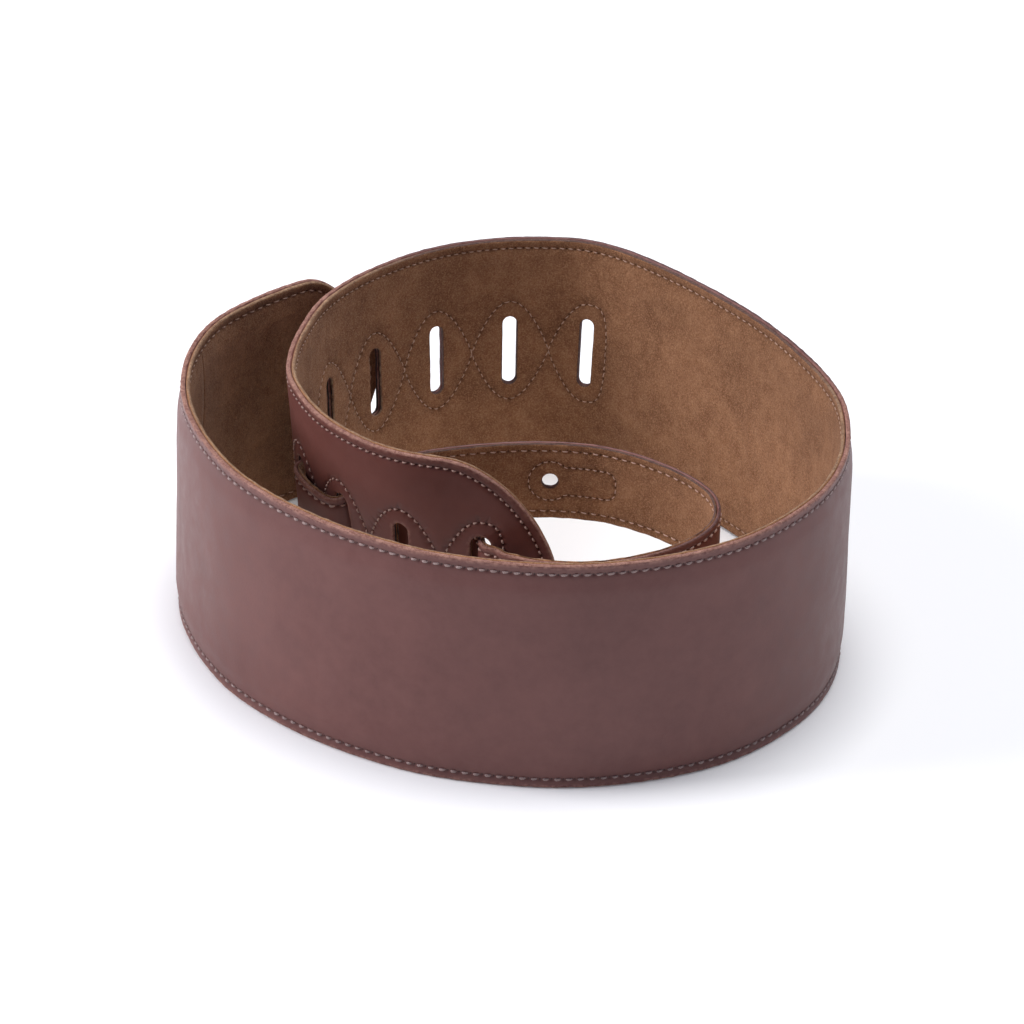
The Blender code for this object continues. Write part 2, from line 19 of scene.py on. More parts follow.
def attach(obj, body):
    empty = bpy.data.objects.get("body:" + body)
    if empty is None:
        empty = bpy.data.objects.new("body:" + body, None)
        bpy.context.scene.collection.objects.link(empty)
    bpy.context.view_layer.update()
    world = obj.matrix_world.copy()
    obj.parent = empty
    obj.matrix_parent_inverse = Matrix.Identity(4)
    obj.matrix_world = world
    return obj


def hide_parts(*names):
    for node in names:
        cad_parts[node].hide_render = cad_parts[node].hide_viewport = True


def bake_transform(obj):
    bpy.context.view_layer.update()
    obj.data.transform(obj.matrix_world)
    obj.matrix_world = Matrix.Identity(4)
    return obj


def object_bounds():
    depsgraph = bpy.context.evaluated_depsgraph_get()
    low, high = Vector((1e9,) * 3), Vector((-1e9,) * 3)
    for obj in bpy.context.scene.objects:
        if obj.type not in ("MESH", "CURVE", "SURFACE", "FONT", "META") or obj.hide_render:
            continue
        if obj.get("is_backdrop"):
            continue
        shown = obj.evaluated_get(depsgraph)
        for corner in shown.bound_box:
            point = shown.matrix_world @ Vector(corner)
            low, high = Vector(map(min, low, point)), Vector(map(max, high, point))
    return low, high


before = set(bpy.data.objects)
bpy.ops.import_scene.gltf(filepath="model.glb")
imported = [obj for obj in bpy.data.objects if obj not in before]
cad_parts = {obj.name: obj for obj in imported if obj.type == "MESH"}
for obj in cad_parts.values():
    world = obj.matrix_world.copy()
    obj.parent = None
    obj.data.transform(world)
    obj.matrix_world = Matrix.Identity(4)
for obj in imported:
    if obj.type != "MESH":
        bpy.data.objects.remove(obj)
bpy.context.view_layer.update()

bl_info = {
    "name": "Padded Guitar Strap",
    "version": (1, 0, 0),
    "blender": (4, 5, 0),
    "location": "View3D > Sidebar > Strap",
    "description": "Skins, padding, stitching and a stage for a coiled leather guitar strap",
    "category": "Object",
}

MM = 0.001

# Route of the band's middle line: x and y in millimetres and outward lean in degrees, outer tip first
BAND_ROUTE = (
    (-58, 118, 0), (-77, 108, 0), (-95, 95, 0), (-112, 79, 0), (-125, 61, 0), (-132.5, 37, 0),
    (-134.5, 12, 0), (-131.5, -13, 0), (-122, -42, 0), (-107.5, -68, 0), (-85, -92, 0),
    (-59, -110.5, 0), (-28, -124.5, 0), (12, -130.5, 0), (44, -127, 0), (76, -115, 0), (100, -97, 0),
    (121, -69, 0), (131.5, -40, 0), (134, -11, 0), (130, 16, 1), (117.5, 45, 2), (96, 79, 3),
    (63, 115, 4), (33, 138, 4), (9, 141, 4), (-16, 137, 4), (-39, 126, 4), (-62, 105.5, 4),
    (-77, 83, 4), (-85.5, 58, 3), (-88, 38, 4), (-85, 18, 7), (-68.5, -9, 11), (-46, -34, 8),
    (-14, -45, 5), (19, -50, 3),
)

# Free part of the tail's middle line, in millimetres, from the band's inner end to the tail's tip
TAIL_ROUTE = (
    (-2, -56.5), (14, -63), (34, -66.5), (54, -62), (71, -50), (81.5, -34), (82.5, -16), (75, -1),
    (59, 14), (38, 25), (16, 28), (-8, 25.5), (-32, 19), (-55, 10),
)
ROUTE_CENTRE = (-0.2, 7.0)      # the model's origin in the two routes, in millimetres

# Band
ROUND_POWER = 1.8               # the two exponents shape a rounded end
ROUND_ROOT = 0.68
LAYER_GAP = 0.15 * MM           # from the middle plane to each layer
THREADED_SLOTS = (0, 2, 3)      # counted from the band's inner end
LINING_TRIM = 0.2 * MM          # the lining is cut this much smaller than the face
SLOT_CREST = 22.5 * MM          # how far the slot seams bow above and below the middle
SLOT_CAP = 9.5 * MM             # how far they close beyond the first and last slot
BAND_HOLE = 20 * MM             # from the band's outer tip
BAND_SEAM_INSET = 4.0 * MM
BAND_GRID = (2.4 * MM, 3.0 * MM)        # mesh spacing along and across the band

# Padding: where it starts and ends, and how its surface rises from the seam and from its ends
PAD_START = 36 * MM
PAD_TO_SLOTS = 14 * MM
PAD_MARGIN, PAD_SLOPE, PAD_RUN = 4.6 * MM, 9 * MM, 16 * MM
LINING_RISE = 0.8               # the lining's share of the pad's rise
FOAM_INSET = 9 * MM
FOAM_SKIN, FOAM_CROWN = 0.12 * MM, 0.42 * MM
FOAM_STEP, FOAM_END, FOAM_GAP = 4 * MM, 6 * MM, 0.3 * MM
FOAM_FROM_TIP, FOAM_TO_SLOTS = 46 * MM, 22 * MM

# Tail
TAIL_WIDEN_FROM = 175 * MM
TAIL_WIDEN_OVER = 60 * MM
TAIL_ROUND = 20 * MM
WEAVE_FRONT = 5.8 * MM          # from the band's middle plane to the tail's, on the leather side
WEAVE_BEHIND = 6.9 * MM         # and on the suede side
WEAVE_BULGE = 0.5 * MM
KEYHOLE_RADIUS = 9 * MM
KEYHOLE_NECK = 6.5 * MM
KEYHOLE_LENGTH = 28 * MM
TAIL_HOLE = 73 * MM             # from the tail's tip
TAIL_SEAM_INSET = 3.4 * MM
TAIL_GRID = (1.5 * MM, 2.2 * MM)

# Where the strap flexes, and where each bending stretch is cut from the rest
PITCH_CHANGE = (400 * MM, 850 * MM)     # stretch of the band over which its stitches get shorter
BAND_FLEX = 74 * MM             # from the band's outer tip
BAND_SPLIT = 108 * MM
TAIL_FLEX = 118 * MM            # from the tail's tip
TAIL_SPLIT = 160 * MM
FLEX_REACH = 20 * MM

# Mesh spacing: distances in from a rim or a hole at which a skin has rows of points
EDGE_STEP = 1.3 * MM
RIM_ROWS = tuple(d * MM for d in (0.06, 0.2, 0.42, 0.8, 1.5, 2.3, 3.1, 3.6, 4.4, 5.0, 6.0, 7.4, 9.0, 10.8,
                                  12.8))
SPLIT_ROWS = tuple(d * MM for d in (0, 0.06, 0.2, 0.42, 0.8, 1.5, 2.3, 3.1, 4.0, 5.0, 6.0, 7.4, 9.0))
CLOSE_ROW = 0.5 * MM            # rows nearer than this are kept whole
HOLE_ROWS = tuple(d * MM for d in (0.06, 0.2, 0.42, 0.9, 1.8, 3.0))
HIDDEN_ROWS = (0.3 * MM,)
EDGE_ROUND = 0.8 * MM
INNER_ROUND = 0.38 * MM
CUT_FACE = 0.5 * MM             # raw edge shows this far in from the rim
EDGE_RAGGED = 0.3               # how uneven the rounding of a cut edge is, as a part of its radius
INNER_RAGGED = 1.6              # how much more uneven it is between the layers

# How the seams press into the skins
SEAM_REACH, SEAM_DEPTH = 1.15 * MM, 0.34 * MM
NEEDLE_REACH, NEEDLE_DEPTH = 0.42 * MM, 0.75 * MM
NEEDLE_RING = 0.62 * MM
BESIDE_SEAM = 1.1 * MM

# Stitches: points along and round each, and its shape as parts of the thread's width
STITCH_RINGS, STITCH_SIDES = 9, 10
PLY_BULGE, PLY_TWIST = 0.13, 1.9
STITCH_TAPER = 0.22
STITCH_FLAT = 0.4               # half its height, beside its width
STITCH_ARCH, STITCH_DIVE = 0.3 * MM, 1.1 * MM
STITCH_SLANT, STITCH_STRAY = math.radians(5), math.radians(2.4)

# Stretches of the band and the tail whose raw edge is painted darker, and where their smooth side and thread
# are painted paler as painted light on the inside of the coil
BAND_DARKENED_SPAN, TAIL_DARKENED_SPAN = (560 * MM, 870 * MM), (200 * MM, 900 * MM)
BAND_INNER_LIGHT_FROM, TAIL_INNER_LIGHT_FROM = 850 * MM, -200 * MM
DARKENING_EASE, INNER_LIGHT_EASE = 70 * MM, 90 * MM


# Flat patterns and the route they are bent round

def eased(x):
    x = np.clip(x, 0.0, 1.0)
    return x * x * (3 - 2 * x)


def hand_curve(points, steps):
    """A Catmull-Rom curve through the given points, as rows of numbers."""
    p = np.array(points, float)
    ends = np.vstack([p[:1], p, p[-1:]])
    t = (np.arange(steps) / steps)[:, None]
    spans = []
    for a, b, c, d in zip(ends, ends[1:], ends[2:], ends[3:]):
        spans.append(0.5 * (2 * b + (c - a) * t + (2 * a - 5 * b + 4 * c - d) * t ** 2
                            + (3 * b - a - 3 * c + d) * t ** 3))
    return np.vstack([*spans, p[-1:]])


def blurred(rows, spread):
    """Rows of a table smoothed along their columns, with the ends carried straight on."""
    if spread < 0.5:
        return rows
    reach = int(3 * spread) + 1
    x = np.arange(-reach, reach + 1)
    weights = np.exp(-0.5 * (x / spread) ** 2)
    weights /= weights.sum()
    back = np.arange(reach, 0, -1)[:, None]
    longer = np.vstack([rows[0] + (rows[0] - rows[1]) * back, rows,
                        rows[-1] + (rows[-1] - rows[-2]) * back[::-1]])
    return np.stack([np.convolve(column, weights, "valid") for column in longer.T], axis=1)


def lengths_along(points):
    return np.concatenate([[0.0], np.cumsum(np.linalg.norm(np.diff(points, axis=0), axis=1))])


class Route:
    """A strap's bent middle line. at(s, v, n) bends a place on the flat strap round it.

    s runs along the strap, v across it and n out of its face side. The points are x, y, z in metres and
    the sideways part, x and y, of a unit vector across the strap.
    """

    STEP = 0.25 * MM

    def __init__(self, points, ease):
        curve = hand_curve(points, 60)
        along = lengths_along(curve[:, :3])
        self.length = along[-1]
        self.s = np.linspace(0, self.length, int(self.length / self.STEP) + 1)
        rows = np.stack([np.interp(self.s, along, column) for column in curve.T], axis=1)
        rows = blurred(rows, ease / self.STEP)
        place, tilt = rows[:, :3], rows[:, 3:]
        heading = np.gradient(place, axis=0)
        heading[:, 2] = 0
        across = np.column_stack([tilt, np.sqrt(1 - (tilt ** 2).sum(1))])
        out = np.cross(heading, across)
        out /= np.linalg.norm(out, axis=1)[:, None]
        self.table = np.hstack([place, across, out])

    def at(self, s, v, n):
        s, v, n = (np.asarray(x, float) for x in (s, v, n))
        rows = np.stack([np.interp(s, self.s, column) for column in self.table.T], axis=-1)
        return rows[..., :3] + rows[..., 3:6] * v[..., None] + rows[..., 6:] * n[..., None]

    def heading(self, s):
        return Vector(self.at(s + MM, 0, 0) - self.at(s - MM, 0, 0)).normalized()


def from_centre(x, y):
    return (x - ROUTE_CENTRE[0]) * MM, (y - ROUTE_CENTRE[1]) * MM


def rounded_end(depth, half, length):
    """Half the width of an end at this depth from its tip."""
    x = 1 - np.clip(depth, 0, length) / length
    return half * (1 - x ** ROUND_POWER) ** ROUND_ROOT


def slot_from_tip(sizes, k):
    return sizes.first_slot + sizes.slot_pitch * k


def band_route(sizes):
    """The band stands on its lower edge, so a leaning stretch has its middle lower."""
    thickest = sizes.face_thickness + 0.8 * MM
    flat = np.array(BAND_ROUTE, float)
    around = np.vstack([flat[:1], flat, flat[-1:]])[:, :2]
    headings = around[2:] - around[:-2]
    headings /= np.linalg.norm(headings, axis=1)[:, None]
    points = []
    for (x, y, lean), (ahead, aside) in zip(flat, headings):
        tilt = math.radians(lean)
        height = sizes.band_width / 2 * math.cos(tilt) + thickest * math.sin(tilt)
        points.append((*from_centre(x, y), height, aside * math.sin(tilt), -ahead * math.sin(tilt)))
    return Route(points, 4 * MM)


def weave_points(sizes):
    """The tail's middle line by the slots: how far from the band's inner tip, and how far out of it."""
    slot = [slot_from_tip(sizes, k) for k in range(5)]
    steep, shoulder, depth = 2.3 * MM, 8.5 * MM, 0.78   # of the slant through a slot
    path = [(slot[4] + 12 * MM, -WEAVE_BEHIND - 3 * MM), (slot[4], -WEAVE_BEHIND - 1.5 * MM),
            (slot[3] + 18 * MM, -WEAVE_BEHIND)]
    for k, before, after in ((3, -WEAVE_BEHIND, WEAVE_FRONT), (2, WEAVE_FRONT, -WEAVE_BEHIND),
                             (0, -WEAVE_BEHIND, WEAVE_FRONT)):
        path += [(slot[k] + shoulder, before), (slot[k] + steep, before * depth), (slot[k], 0.0),
                 (slot[k] - steep, after * depth), (slot[k] - shoulder, after)]
    path.append(((slot[3] + slot[2]) / 2, WEAVE_FRONT + WEAVE_BULGE))
    path += [(slot[1] + 12 * MM, -WEAVE_BEHIND), (slot[1] - 12 * MM, -WEAVE_BEHIND)]
    return sorted(path, reverse=True)


def tail_route(sizes, band):
    points = []
    for s, n in weave_points(sizes):
        place = band.at(band.length - s, 0, n)
        tilt = band.at(band.length - s, 1, 0) - band.at(band.length - s, 0, 0)
        points.append((*place, tilt[0], tilt[1]))
    height, tilt_x, tilt_y = points[-1][2:]
    for k, (x, y) in enumerate(TAIL_ROUTE):
        ease = float(eased((k + 1) / 4))
        level = height + (sizes.band_width / 2 - height) * ease
        points.append((*from_centre(x, y), level, tilt_x * (1 - ease), tilt_y * (1 - ease)))
    return Route(points, 1.8 * MM)


class Strip:
    """Flat outline of a strap, its holes, and its rim as a closed loop of points with inward normals."""

    def __init__(self, route, half, holes, seam_inset, relief, grid, dye_span, inner_light_from):
        self.route, self.length = route, route.length
        self.half, self.holes = half, holes
        self.seam_inset, self.relief, self.grid = seam_inset, relief, grid
        self.dye_span, self.inner_light_from = dye_span, inner_light_from
        self.loops = {}

    def dyed(self, s):
        """How much darker the raw edge is painted here, from 0 to 1."""
        start, end = self.dye_span
        return eased((s - start) / DARKENING_EASE) * eased((end - s) / DARKENING_EASE)

    def fresh(self, s):
        """Painted light: how much paler the smooth side and its thread are painted here, from 0 to 1, on the
        inside of the coil.
        """
        return eased((s - self.inner_light_from) / INNER_LIGHT_EASE)

    def loop(self, trim):
        """The rim, cut smaller by trim: points EDGE_STEP apart, and the normals that point into the skin."""
        if trim not in self.loops:
            depth = np.linspace(0, 1, 400) ** 2 * self.length / 2
            s = np.concatenate([depth, self.length - depth[-2::-1]])
            s = np.clip(s, trim, self.length - trim)
            side = np.column_stack([s, self.half(s, trim)])
            whole = np.vstack([side, (side * (1, -1))[-2:0:-1], side[:1]])
            along = lengths_along(whole)
            count = int(along[-1] / EDGE_STEP)
            even = np.linspace(0, along[-1], count, endpoint=False)
            points = np.stack([np.interp(even, along, column) for column in whole.T], axis=1)
            for _ in range(6):
                points = (np.roll(points, 1, 0) + 2 * points + np.roll(points, -1, 0)) / 4
            ahead = np.roll(points, -1, 0) - np.roll(points, 1, 0)
            ahead /= np.linalg.norm(ahead, axis=1)[:, None]
            inward = np.column_stack([ahead[:, 1], -ahead[:, 0]])
            self.loops[trim] = points, inward
        return self.loops[trim]

    def hole_distance(self, s, v):
        """How far a place is from the nearest hole's edge; less than nothing inside a hole."""
        nearest = np.full(np.shape(s), 1.0)
        for centre, half, reach in self.holes:
            beyond = np.maximum(np.abs(v) - (reach - half), 0)
            nearest = np.minimum(nearest, np.hypot(s - centre, beyond) - half)
        return nearest

    def hole_ring(self, hole, away):
        """Points round a hole, this far from its edge: straight sides with round ends."""
        centre, half, reach = hole
        straight, radius = reach - half, half + away
        turns = max(int(math.pi * radius / (0.8 * MM)), 8)
        arc = np.linspace(0, math.pi, turns)
        top = np.column_stack([centre + radius * np.cos(arc), straight + radius * np.sin(arc)])
        bottom = np.column_stack([centre - radius * np.cos(arc), -straight - radius * np.sin(arc)])
        if straight < 0.1 * MM:
            return np.vstack([top[:-1], bottom[:-1]])
        rise = np.linspace(-straight, straight, max(int(straight / (0.6 * MM)), 2))[1:-1]
        left = np.column_stack([np.full(len(rise), centre - radius), rise[::-1]])
        right = np.column_stack([np.full(len(rise), centre + radius), rise])
        return np.vstack([top, left, bottom, right])


def band_strip(sizes):
    route = band_route(sizes)
    full = sizes.band_width / 2

    def half(s, inset=0.0):
        outer = rounded_end(s - inset, full - inset, sizes.outer_round - inset)
        inner = rounded_end(route.length - s - inset, full - inset, sizes.inner_round - inset)
        return np.minimum(outer, inner)

    holes = [(BAND_HOLE, sizes.hole_radius, sizes.hole_radius)]
    for k in range(sizes.slot_count):
        width = sizes.threaded_width if k in THREADED_SLOTS else sizes.slot_width
        holes.append((route.length - slot_from_tip(sizes, k), width / 2, sizes.slot_length / 2))
    pad_to = route.length - slot_from_tip(sizes, sizes.slot_count - 1) - PAD_TO_SLOTS

    def relief(s, v, rim, side):
        """How far the padding and the hide's own unevenness lift a skin from its flat thickness."""
        padded = eased((rim - PAD_MARGIN) / PAD_SLOPE) * eased((s - PAD_START) / PAD_RUN)
        padded = padded * eased((pad_to - s) / PAD_RUN)
        open_part = eased((rim - 3 * MM) / (10 * MM))
        rise = sizes.pad_rise if side > 0 else sizes.pad_rise * LINING_RISE
        uneven = swell(s, v, 11 if side > 0 else 12, 34 * MM, 90 * MM) * 0.16 * MM
        pulled = swell(s, v, 13 if side > 0 else 14, 9 * MM, 22 * MM) * 0.045 * MM
        return padded * rise + open_part * (uneven + pulled)

    return Strip(route, half, holes, BAND_SEAM_INSET, relief, BAND_GRID, BAND_DARKENED_SPAN, BAND_INNER_LIGHT_FROM)


def tail_strip(sizes, band):
    route = tail_route(sizes, band.route)

    def half(s, inset=0.0):
        wide = eased((s - TAIL_WIDEN_FROM) / TAIL_WIDEN_OVER)
        full = sizes.tail_width / 2 + (sizes.tail_end_width - sizes.tail_width) / 2 * wide
        return rounded_end(np.minimum(s, route.length - s) - inset, full - inset, TAIL_ROUND - inset)

    holes = [(route.length - TAIL_HOLE, sizes.hole_radius, sizes.hole_radius)]

    def relief(s, v, rim, side):
        return eased((rim - 3 * MM) / (5 * MM)) * swell(s, v, 15, 12 * MM, 40 * MM) * 0.06 * MM

    return Strip(route, half, holes, TAIL_SEAM_INSET, relief, TAIL_GRID, TAIL_DARKENED_SPAN, TAIL_INNER_LIGHT_FROM)


def swell(s, v, seed, shortest, longest, waves=26):
    """Smooth unevenness of about -1 to 1, the same each time, with waves between two lengths."""
    rng = np.random.default_rng(seed)
    total = np.zeros(np.shape(s))
    for _ in range(waves):
        length = shortest * (longest / shortest) ** rng.random()
        angle, phase = rng.random(2) * math.tau
        total = total + np.cos(math.tau * (s * math.cos(angle) + v * math.sin(angle)) / length + phase)
    return total / math.sqrt(waves / 2) / 1.6


# Seams

def along_path(path, pitch_at, closed):
    """Stitch centres, headings, local pitch and needle holes along a flat path."""
    if closed:
        path = np.vstack([path, path[:1]])
    along = lengths_along(path)
    pitch = pitch_at((path[1:, 0] + path[:-1, 0]) / 2)
    counted = np.concatenate([[0.0], np.cumsum(np.diff(along) / pitch)])
    count = max(round(counted[-1]), 2)
    counted *= count / counted[-1]

    def place(x):
        return np.stack([np.interp(x, counted, column) for column in path.T], axis=1)

    middles = np.arange(count) + 0.5
    ahead = place(middles + 0.3) - place(middles - 0.3)
    angles = np.arctan2(ahead[:, 1], ahead[:, 0])
    needles = place(np.arange(count + (0 if closed else 1)))
    return place(middles), angles, np.linalg.norm(ahead, axis=1) / 0.6, needles


def even_pitch(pitch):
    return lambda s: np.full(np.shape(s), pitch)


def slot_seam_path(sizes, length, sign):
    """One of the two crossing waves that pass round the slots, with half of each closed end."""
    last = sizes.slot_count - 1
    start = length - slot_from_tip(sizes, last)
    stop = length - slot_from_tip(sizes, 0)
    x = np.linspace(0, stop - start, 400)
    wave = np.cos(math.pi * x / sizes.slot_pitch)
    v = sign * SLOT_CREST * np.sign(wave) * np.abs(wave) ** 0.85
    quarter = np.linspace(0, math.pi / 2, 24)
    cap_s = SLOT_CAP * np.cos(quarter) ** 0.6
    cap_v = SLOT_CREST * np.sin(quarter) ** 0.6
    first = np.column_stack([start - cap_s, sign * cap_v])[:-1]
    end = v[-1] / SLOT_CREST
    final = np.column_stack([stop + cap_s, end * cap_v])[-2::-1]
    return np.vstack([first, np.column_stack([start + x, v]), final])


def keyhole_path(length):
    centre = length - TAIL_HOLE
    start = math.asin(KEYHOLE_NECK / KEYHOLE_RADIUS)
    arc = np.linspace(start, math.tau - start, 60)
    ring = np.column_stack([centre - KEYHOLE_RADIUS * np.cos(arc), KEYHOLE_RADIUS * np.sin(arc)])
    turn = np.linspace(0, math.pi / 2, 12)
    corner = 0.7 * KEYHOLE_NECK
    end = centre - KEYHOLE_LENGTH + corner
    near = np.column_stack([end - corner * np.cos(turn), KEYHOLE_NECK - corner + corner * np.sin(turn)])
    near = np.vstack([(end - corner, 0.2 * MM), near])
    return np.vstack([near, ring, near[::-1] * (1, -1)])


class Seam:
    """A row of stitches: its path laid out as stitch centres, headings and needle holes."""

    def __init__(self, name, path, pitch, closed=False):
        self.name = name
        self.centres, self.angles, self.pitch, self.needles = along_path(path, pitch, closed)


def band_seams(sizes, band, stitches):
    def rim_pitch(s):
        """The seam is sewn closer together towards the slotted end."""
        closer = np.clip((s - PITCH_CHANGE[0]) / (PITCH_CHANGE[1] - PITCH_CHANGE[0]), 0, 1)
        return stitches.pitch + (stitches.slot_pitch - stitches.pitch) * closer

    points, inward = band.loop(0.0)
    rim = Seam("rim", points + inward * band.seam_inset, rim_pitch, closed=True)
    slot_pitch = even_pitch(stitches.slot_pitch)
    upper = Seam("slot_upper", slot_seam_path(sizes, band.length, 1), slot_pitch)
    lower = Seam("slot_lower", slot_seam_path(sizes, band.length, -1), slot_pitch)
    return [rim, upper, lower]


def tail_seams(tail, stitches):
    points, inward = tail.loop(0.0)
    rim = Seam("rim", points + inward * tail.seam_inset, even_pitch(stitches.tail_pitch), closed=True)
    keyhole = Seam("keyhole", keyhole_path(tail.length), even_pitch(stitches.slot_pitch * 0.96))
    return [rim, keyhole]


# Skins

def spaced_out(points, clear):
    """The points, less any that is too close to one before it."""
    kept = []
    cells = {}
    for x, y in points:
        key = (int(x // clear), int(y // clear))
        near = [q for i in (-1, 0, 1) for j in (-1, 0, 1) for q in cells.get((key[0] + i, key[1] + j), ())]
        if all(math.hypot(x - a, y - b) >= clear for a, b in near):
            cells.setdefault(key, []).append((x, y))
            kept.append((x, y))
    return np.array(kept).reshape(-1, 2)


def keep_clear(kept, points, clear):
    """Adds to kept the points that are at least this far from all of kept."""
    tree = KDTree(len(kept))
    for k, (x, y) in enumerate(kept):
        tree.insert((x, y, 0), k)
    tree.balance()
    far = [tree.find((x, y, 0))[2] >= clear for x, y in points]
    return np.vstack([kept, points[np.array(far, bool)]])


def distance_to(points, places):
    """How far each place is from the nearest of the points."""
    tree = KDTree(len(points))
    for k, (x, y) in enumerate(points):
        tree.insert((x, y, 0), k)
    tree.balance()
    return np.array([tree.find((x, y, 0))[2] for x, y in places])


def outline(strip, low, high, trim):
    """The rim of the stretch from low to high, in order, closed by a straight cut where it is split."""
    points, _ = strip.loop(trim)
    inside = np.ones(len(points), bool)
    if low > 0:
        inside &= points[:, 0] > low + 0.3 * MM
    if high < strip.length:
        inside &= points[:, 0] < high - 0.3 * MM
    if inside.all():
        return points
    first = next(k for k in range(len(points)) if inside[k] and not inside[k - 1])
    order = np.roll(np.arange(len(points)), -first)
    run = points[order][inside[order]]
    cut = low if low > 0 else high
    reach = float(np.interp(cut, *sorted_side(points)))
    gaps = np.array(SPLIT_ROWS)
    gaps = gaps[gaps < reach * 0.6]
    middle = np.linspace(gaps[-1] - reach, reach - gaps[-1], max(int(reach / MM), 6))[1:-1]
    levels = np.concatenate([gaps - reach, middle, (reach - gaps)[::-1]])
    if run[-1, 1] > 0:
        levels = levels[::-1]
    return np.vstack([run, np.column_stack([np.full(len(levels), cut), levels])])


def sorted_side(points):
    upper = points[points[:, 1] >= 0]
    upper = upper[np.argsort(upper[:, 0])]
    return upper[:, 0], upper[:, 1]


def flat_mesh(strip, low, high, trim, rows, hole_rows, grid, needles):
    """A triangulated flat skin: points, triangles, and each point's distance from its nearest cut edge."""
    rim = outline(strip, low, high, trim)
    fixed = [rim]
    edges = [(k, (k + 1) % len(rim)) for k in range(len(rim))]
    holes = [hole for hole in strip.holes if low < hole[0] < high]
    ring_number = [np.zeros(len(rim), int)]
    for number, hole in enumerate(holes, 1):
        start = sum(map(len, fixed))
        ring = strip.hole_ring(hole, 0.0)
        fixed.append(ring)
        ring_number.append(np.full(len(ring), number))
        edges += [(start + k, start + (k + 1) % len(ring)) for k in range(len(ring))]
    kept = np.vstack(fixed)
    border = len(kept)

    def in_stretch(points, from_hole):
        ok = np.ones(len(points), bool)
        if low > 0:
            ok &= points[:, 0] > low + 0.5 * MM
        if high < strip.length:
            ok &= points[:, 0] < high - 0.5 * MM
        return points[ok & (strip.hole_distance(points[:, 0], points[:, 1]) > from_hole)]

    points, inward = strip.loop(trim)
    close = [d for d in rows if d < CLOSE_ROW]
    inset = {}
    for d in close:
        added = in_stretch(points + inward * d, 0.4 * MM)
        inset.update({tuple(np.round(p, 9)): d for p in added})
        kept = np.vstack([kept, added])
    for hole in holes:
        for d in [d for d in hole_rows if d < CLOSE_ROW]:
            kept = np.vstack([kept, strip.hole_ring(hole, d)])
    if len(needles):
        kept = keep_clear(kept, in_stretch(needles, 0.8 * MM), 0.42 * MM)
    for hole in holes:
        for d in [d for d in hole_rows if d >= CLOSE_ROW]:
            kept = keep_clear(kept, in_stretch(strip.hole_ring(hole, d), 0.4 * MM), 0.35 * MM)
    for d in [d for d in rows if d >= CLOSE_ROW]:
        kept = keep_clear(kept, in_stretch(points + inward * d, 0.5 * MM), 0.35 * MM)
    across = np.arange(-60 * MM, 60 * MM, grid[1])
    along = np.arange(max(low, 0), min(high, strip.length), grid[0])
    mesh_s, mesh_v = np.meshgrid(along, across)
    mesh_s = mesh_s + (np.arange(len(across)) % 2)[:, None] * grid[0] / 2
    field = np.column_stack([mesh_s.ravel(), mesh_v.ravel()])
    room = strip.half(field[:, 0], 0.0) - np.abs(field[:, 1])
    field = field[room > max(rows[-1], grid[0] * 0.5) * 0.92]
    kept = keep_clear(kept, in_stretch(field, grid[0] * 0.5), grid[0] * 0.62)

    made = delaunay_2d_cdt([Vector(p) for p in kept / MM], edges, [], 1, 1e-6)
    source = np.array([min(sources) if sources else -1 for sources in made[3]])
    if source.min() < 0 or len(np.intersect1d(source, np.arange(border))) < border:
        raise RuntimeError("the flat pattern's rim crosses itself")
    used = np.sort(source)
    triangles = np.searchsorted(used, source)[np.array([face for face in made[2] if len(face) == 3])]
    places = kept[used]
    numbers = np.zeros(len(places), int)
    numbers[:border] = np.concatenate(ring_number)
    corners = numbers[triangles]
    triangles = triangles[(corners.min(axis=1) == 0) | (corners.min(axis=1) != corners.max(axis=1))]
    a, b, c = (places[triangles[:, k]] for k in range(3))
    turned = (b - a)[:, 0] * (c - a)[:, 1] - (b - a)[:, 1] * (c - a)[:, 0] < 0
    triangles[turned] = triangles[turned][:, ::-1]
    from_rim = distance_to(dense(points), places)
    for k, p in enumerate(map(tuple, np.round(places, 9))):
        if p in inset:
            from_rim[k] = inset[p]
    edge = np.minimum(from_rim, np.maximum(strip.hole_distance(places[:, 0], places[:, 1]), 0))
    edge[:border][np.abs(places[:border, 0] - (low if low > 0 else high)) > 1e-7] = 0.0
    return places, triangles, edge


def dense(loop):
    """A closed loop of points, with more points between them."""
    ahead = np.roll(loop, -1, 0)
    return np.vstack([loop + (ahead - loop) * t for t in (0, 0.2, 0.4, 0.6, 0.8)])


def rounding(distance, radius):
    """How far a rounded edge falls away at this distance from it."""
    short = np.clip(radius - distance, 0, radius)
    return radius - np.sqrt(np.maximum(radius ** 2 - short ** 2, 0))


class Skin:
    """One layer of leather or suede: which side it is on, its thickness, and how its outer side lies."""

    def __init__(self, strip, side, thickness, trim, seams):
        self.strip, self.side, self.thickness, self.trim = strip, side, thickness, trim
        self.needles = spaced_out(np.vstack([seam.needles for seam in seams]), 1.6 * MM)
        self.rows = np.vstack([seam_row(seam) for seam in seams])
        self.tree_points = np.vstack([dense(seam.centres) if len(seam.centres) > 900 else finer(seam)
                                      for seam in seams])

    def outer(self, s, v, edge):
        """How high the outer side is above the strap's middle plane, and how much a seam pulls it in."""
        seam = distance_to(self.tree_points, np.column_stack([s, v]))
        pull = np.exp(-(seam / SEAM_REACH) ** 2)
        lift = self.strip.relief(s, v, edge, self.side)
        return LAYER_GAP + self.thickness + lift - SEAM_DEPTH * pull, pull

    def needle_points(self):
        """Each needle hole's middle, a ring round it, and points along the stitches between them."""
        ring = np.linspace(0, math.tau, 6, endpoint=False)
        around = np.stack([np.cos(ring), np.sin(ring)], axis=1) * NEEDLE_RING
        rings = (self.needles[:, None, :] + around[None]).reshape(-1, 2)
        return np.vstack([self.needles, rings, self.rows])


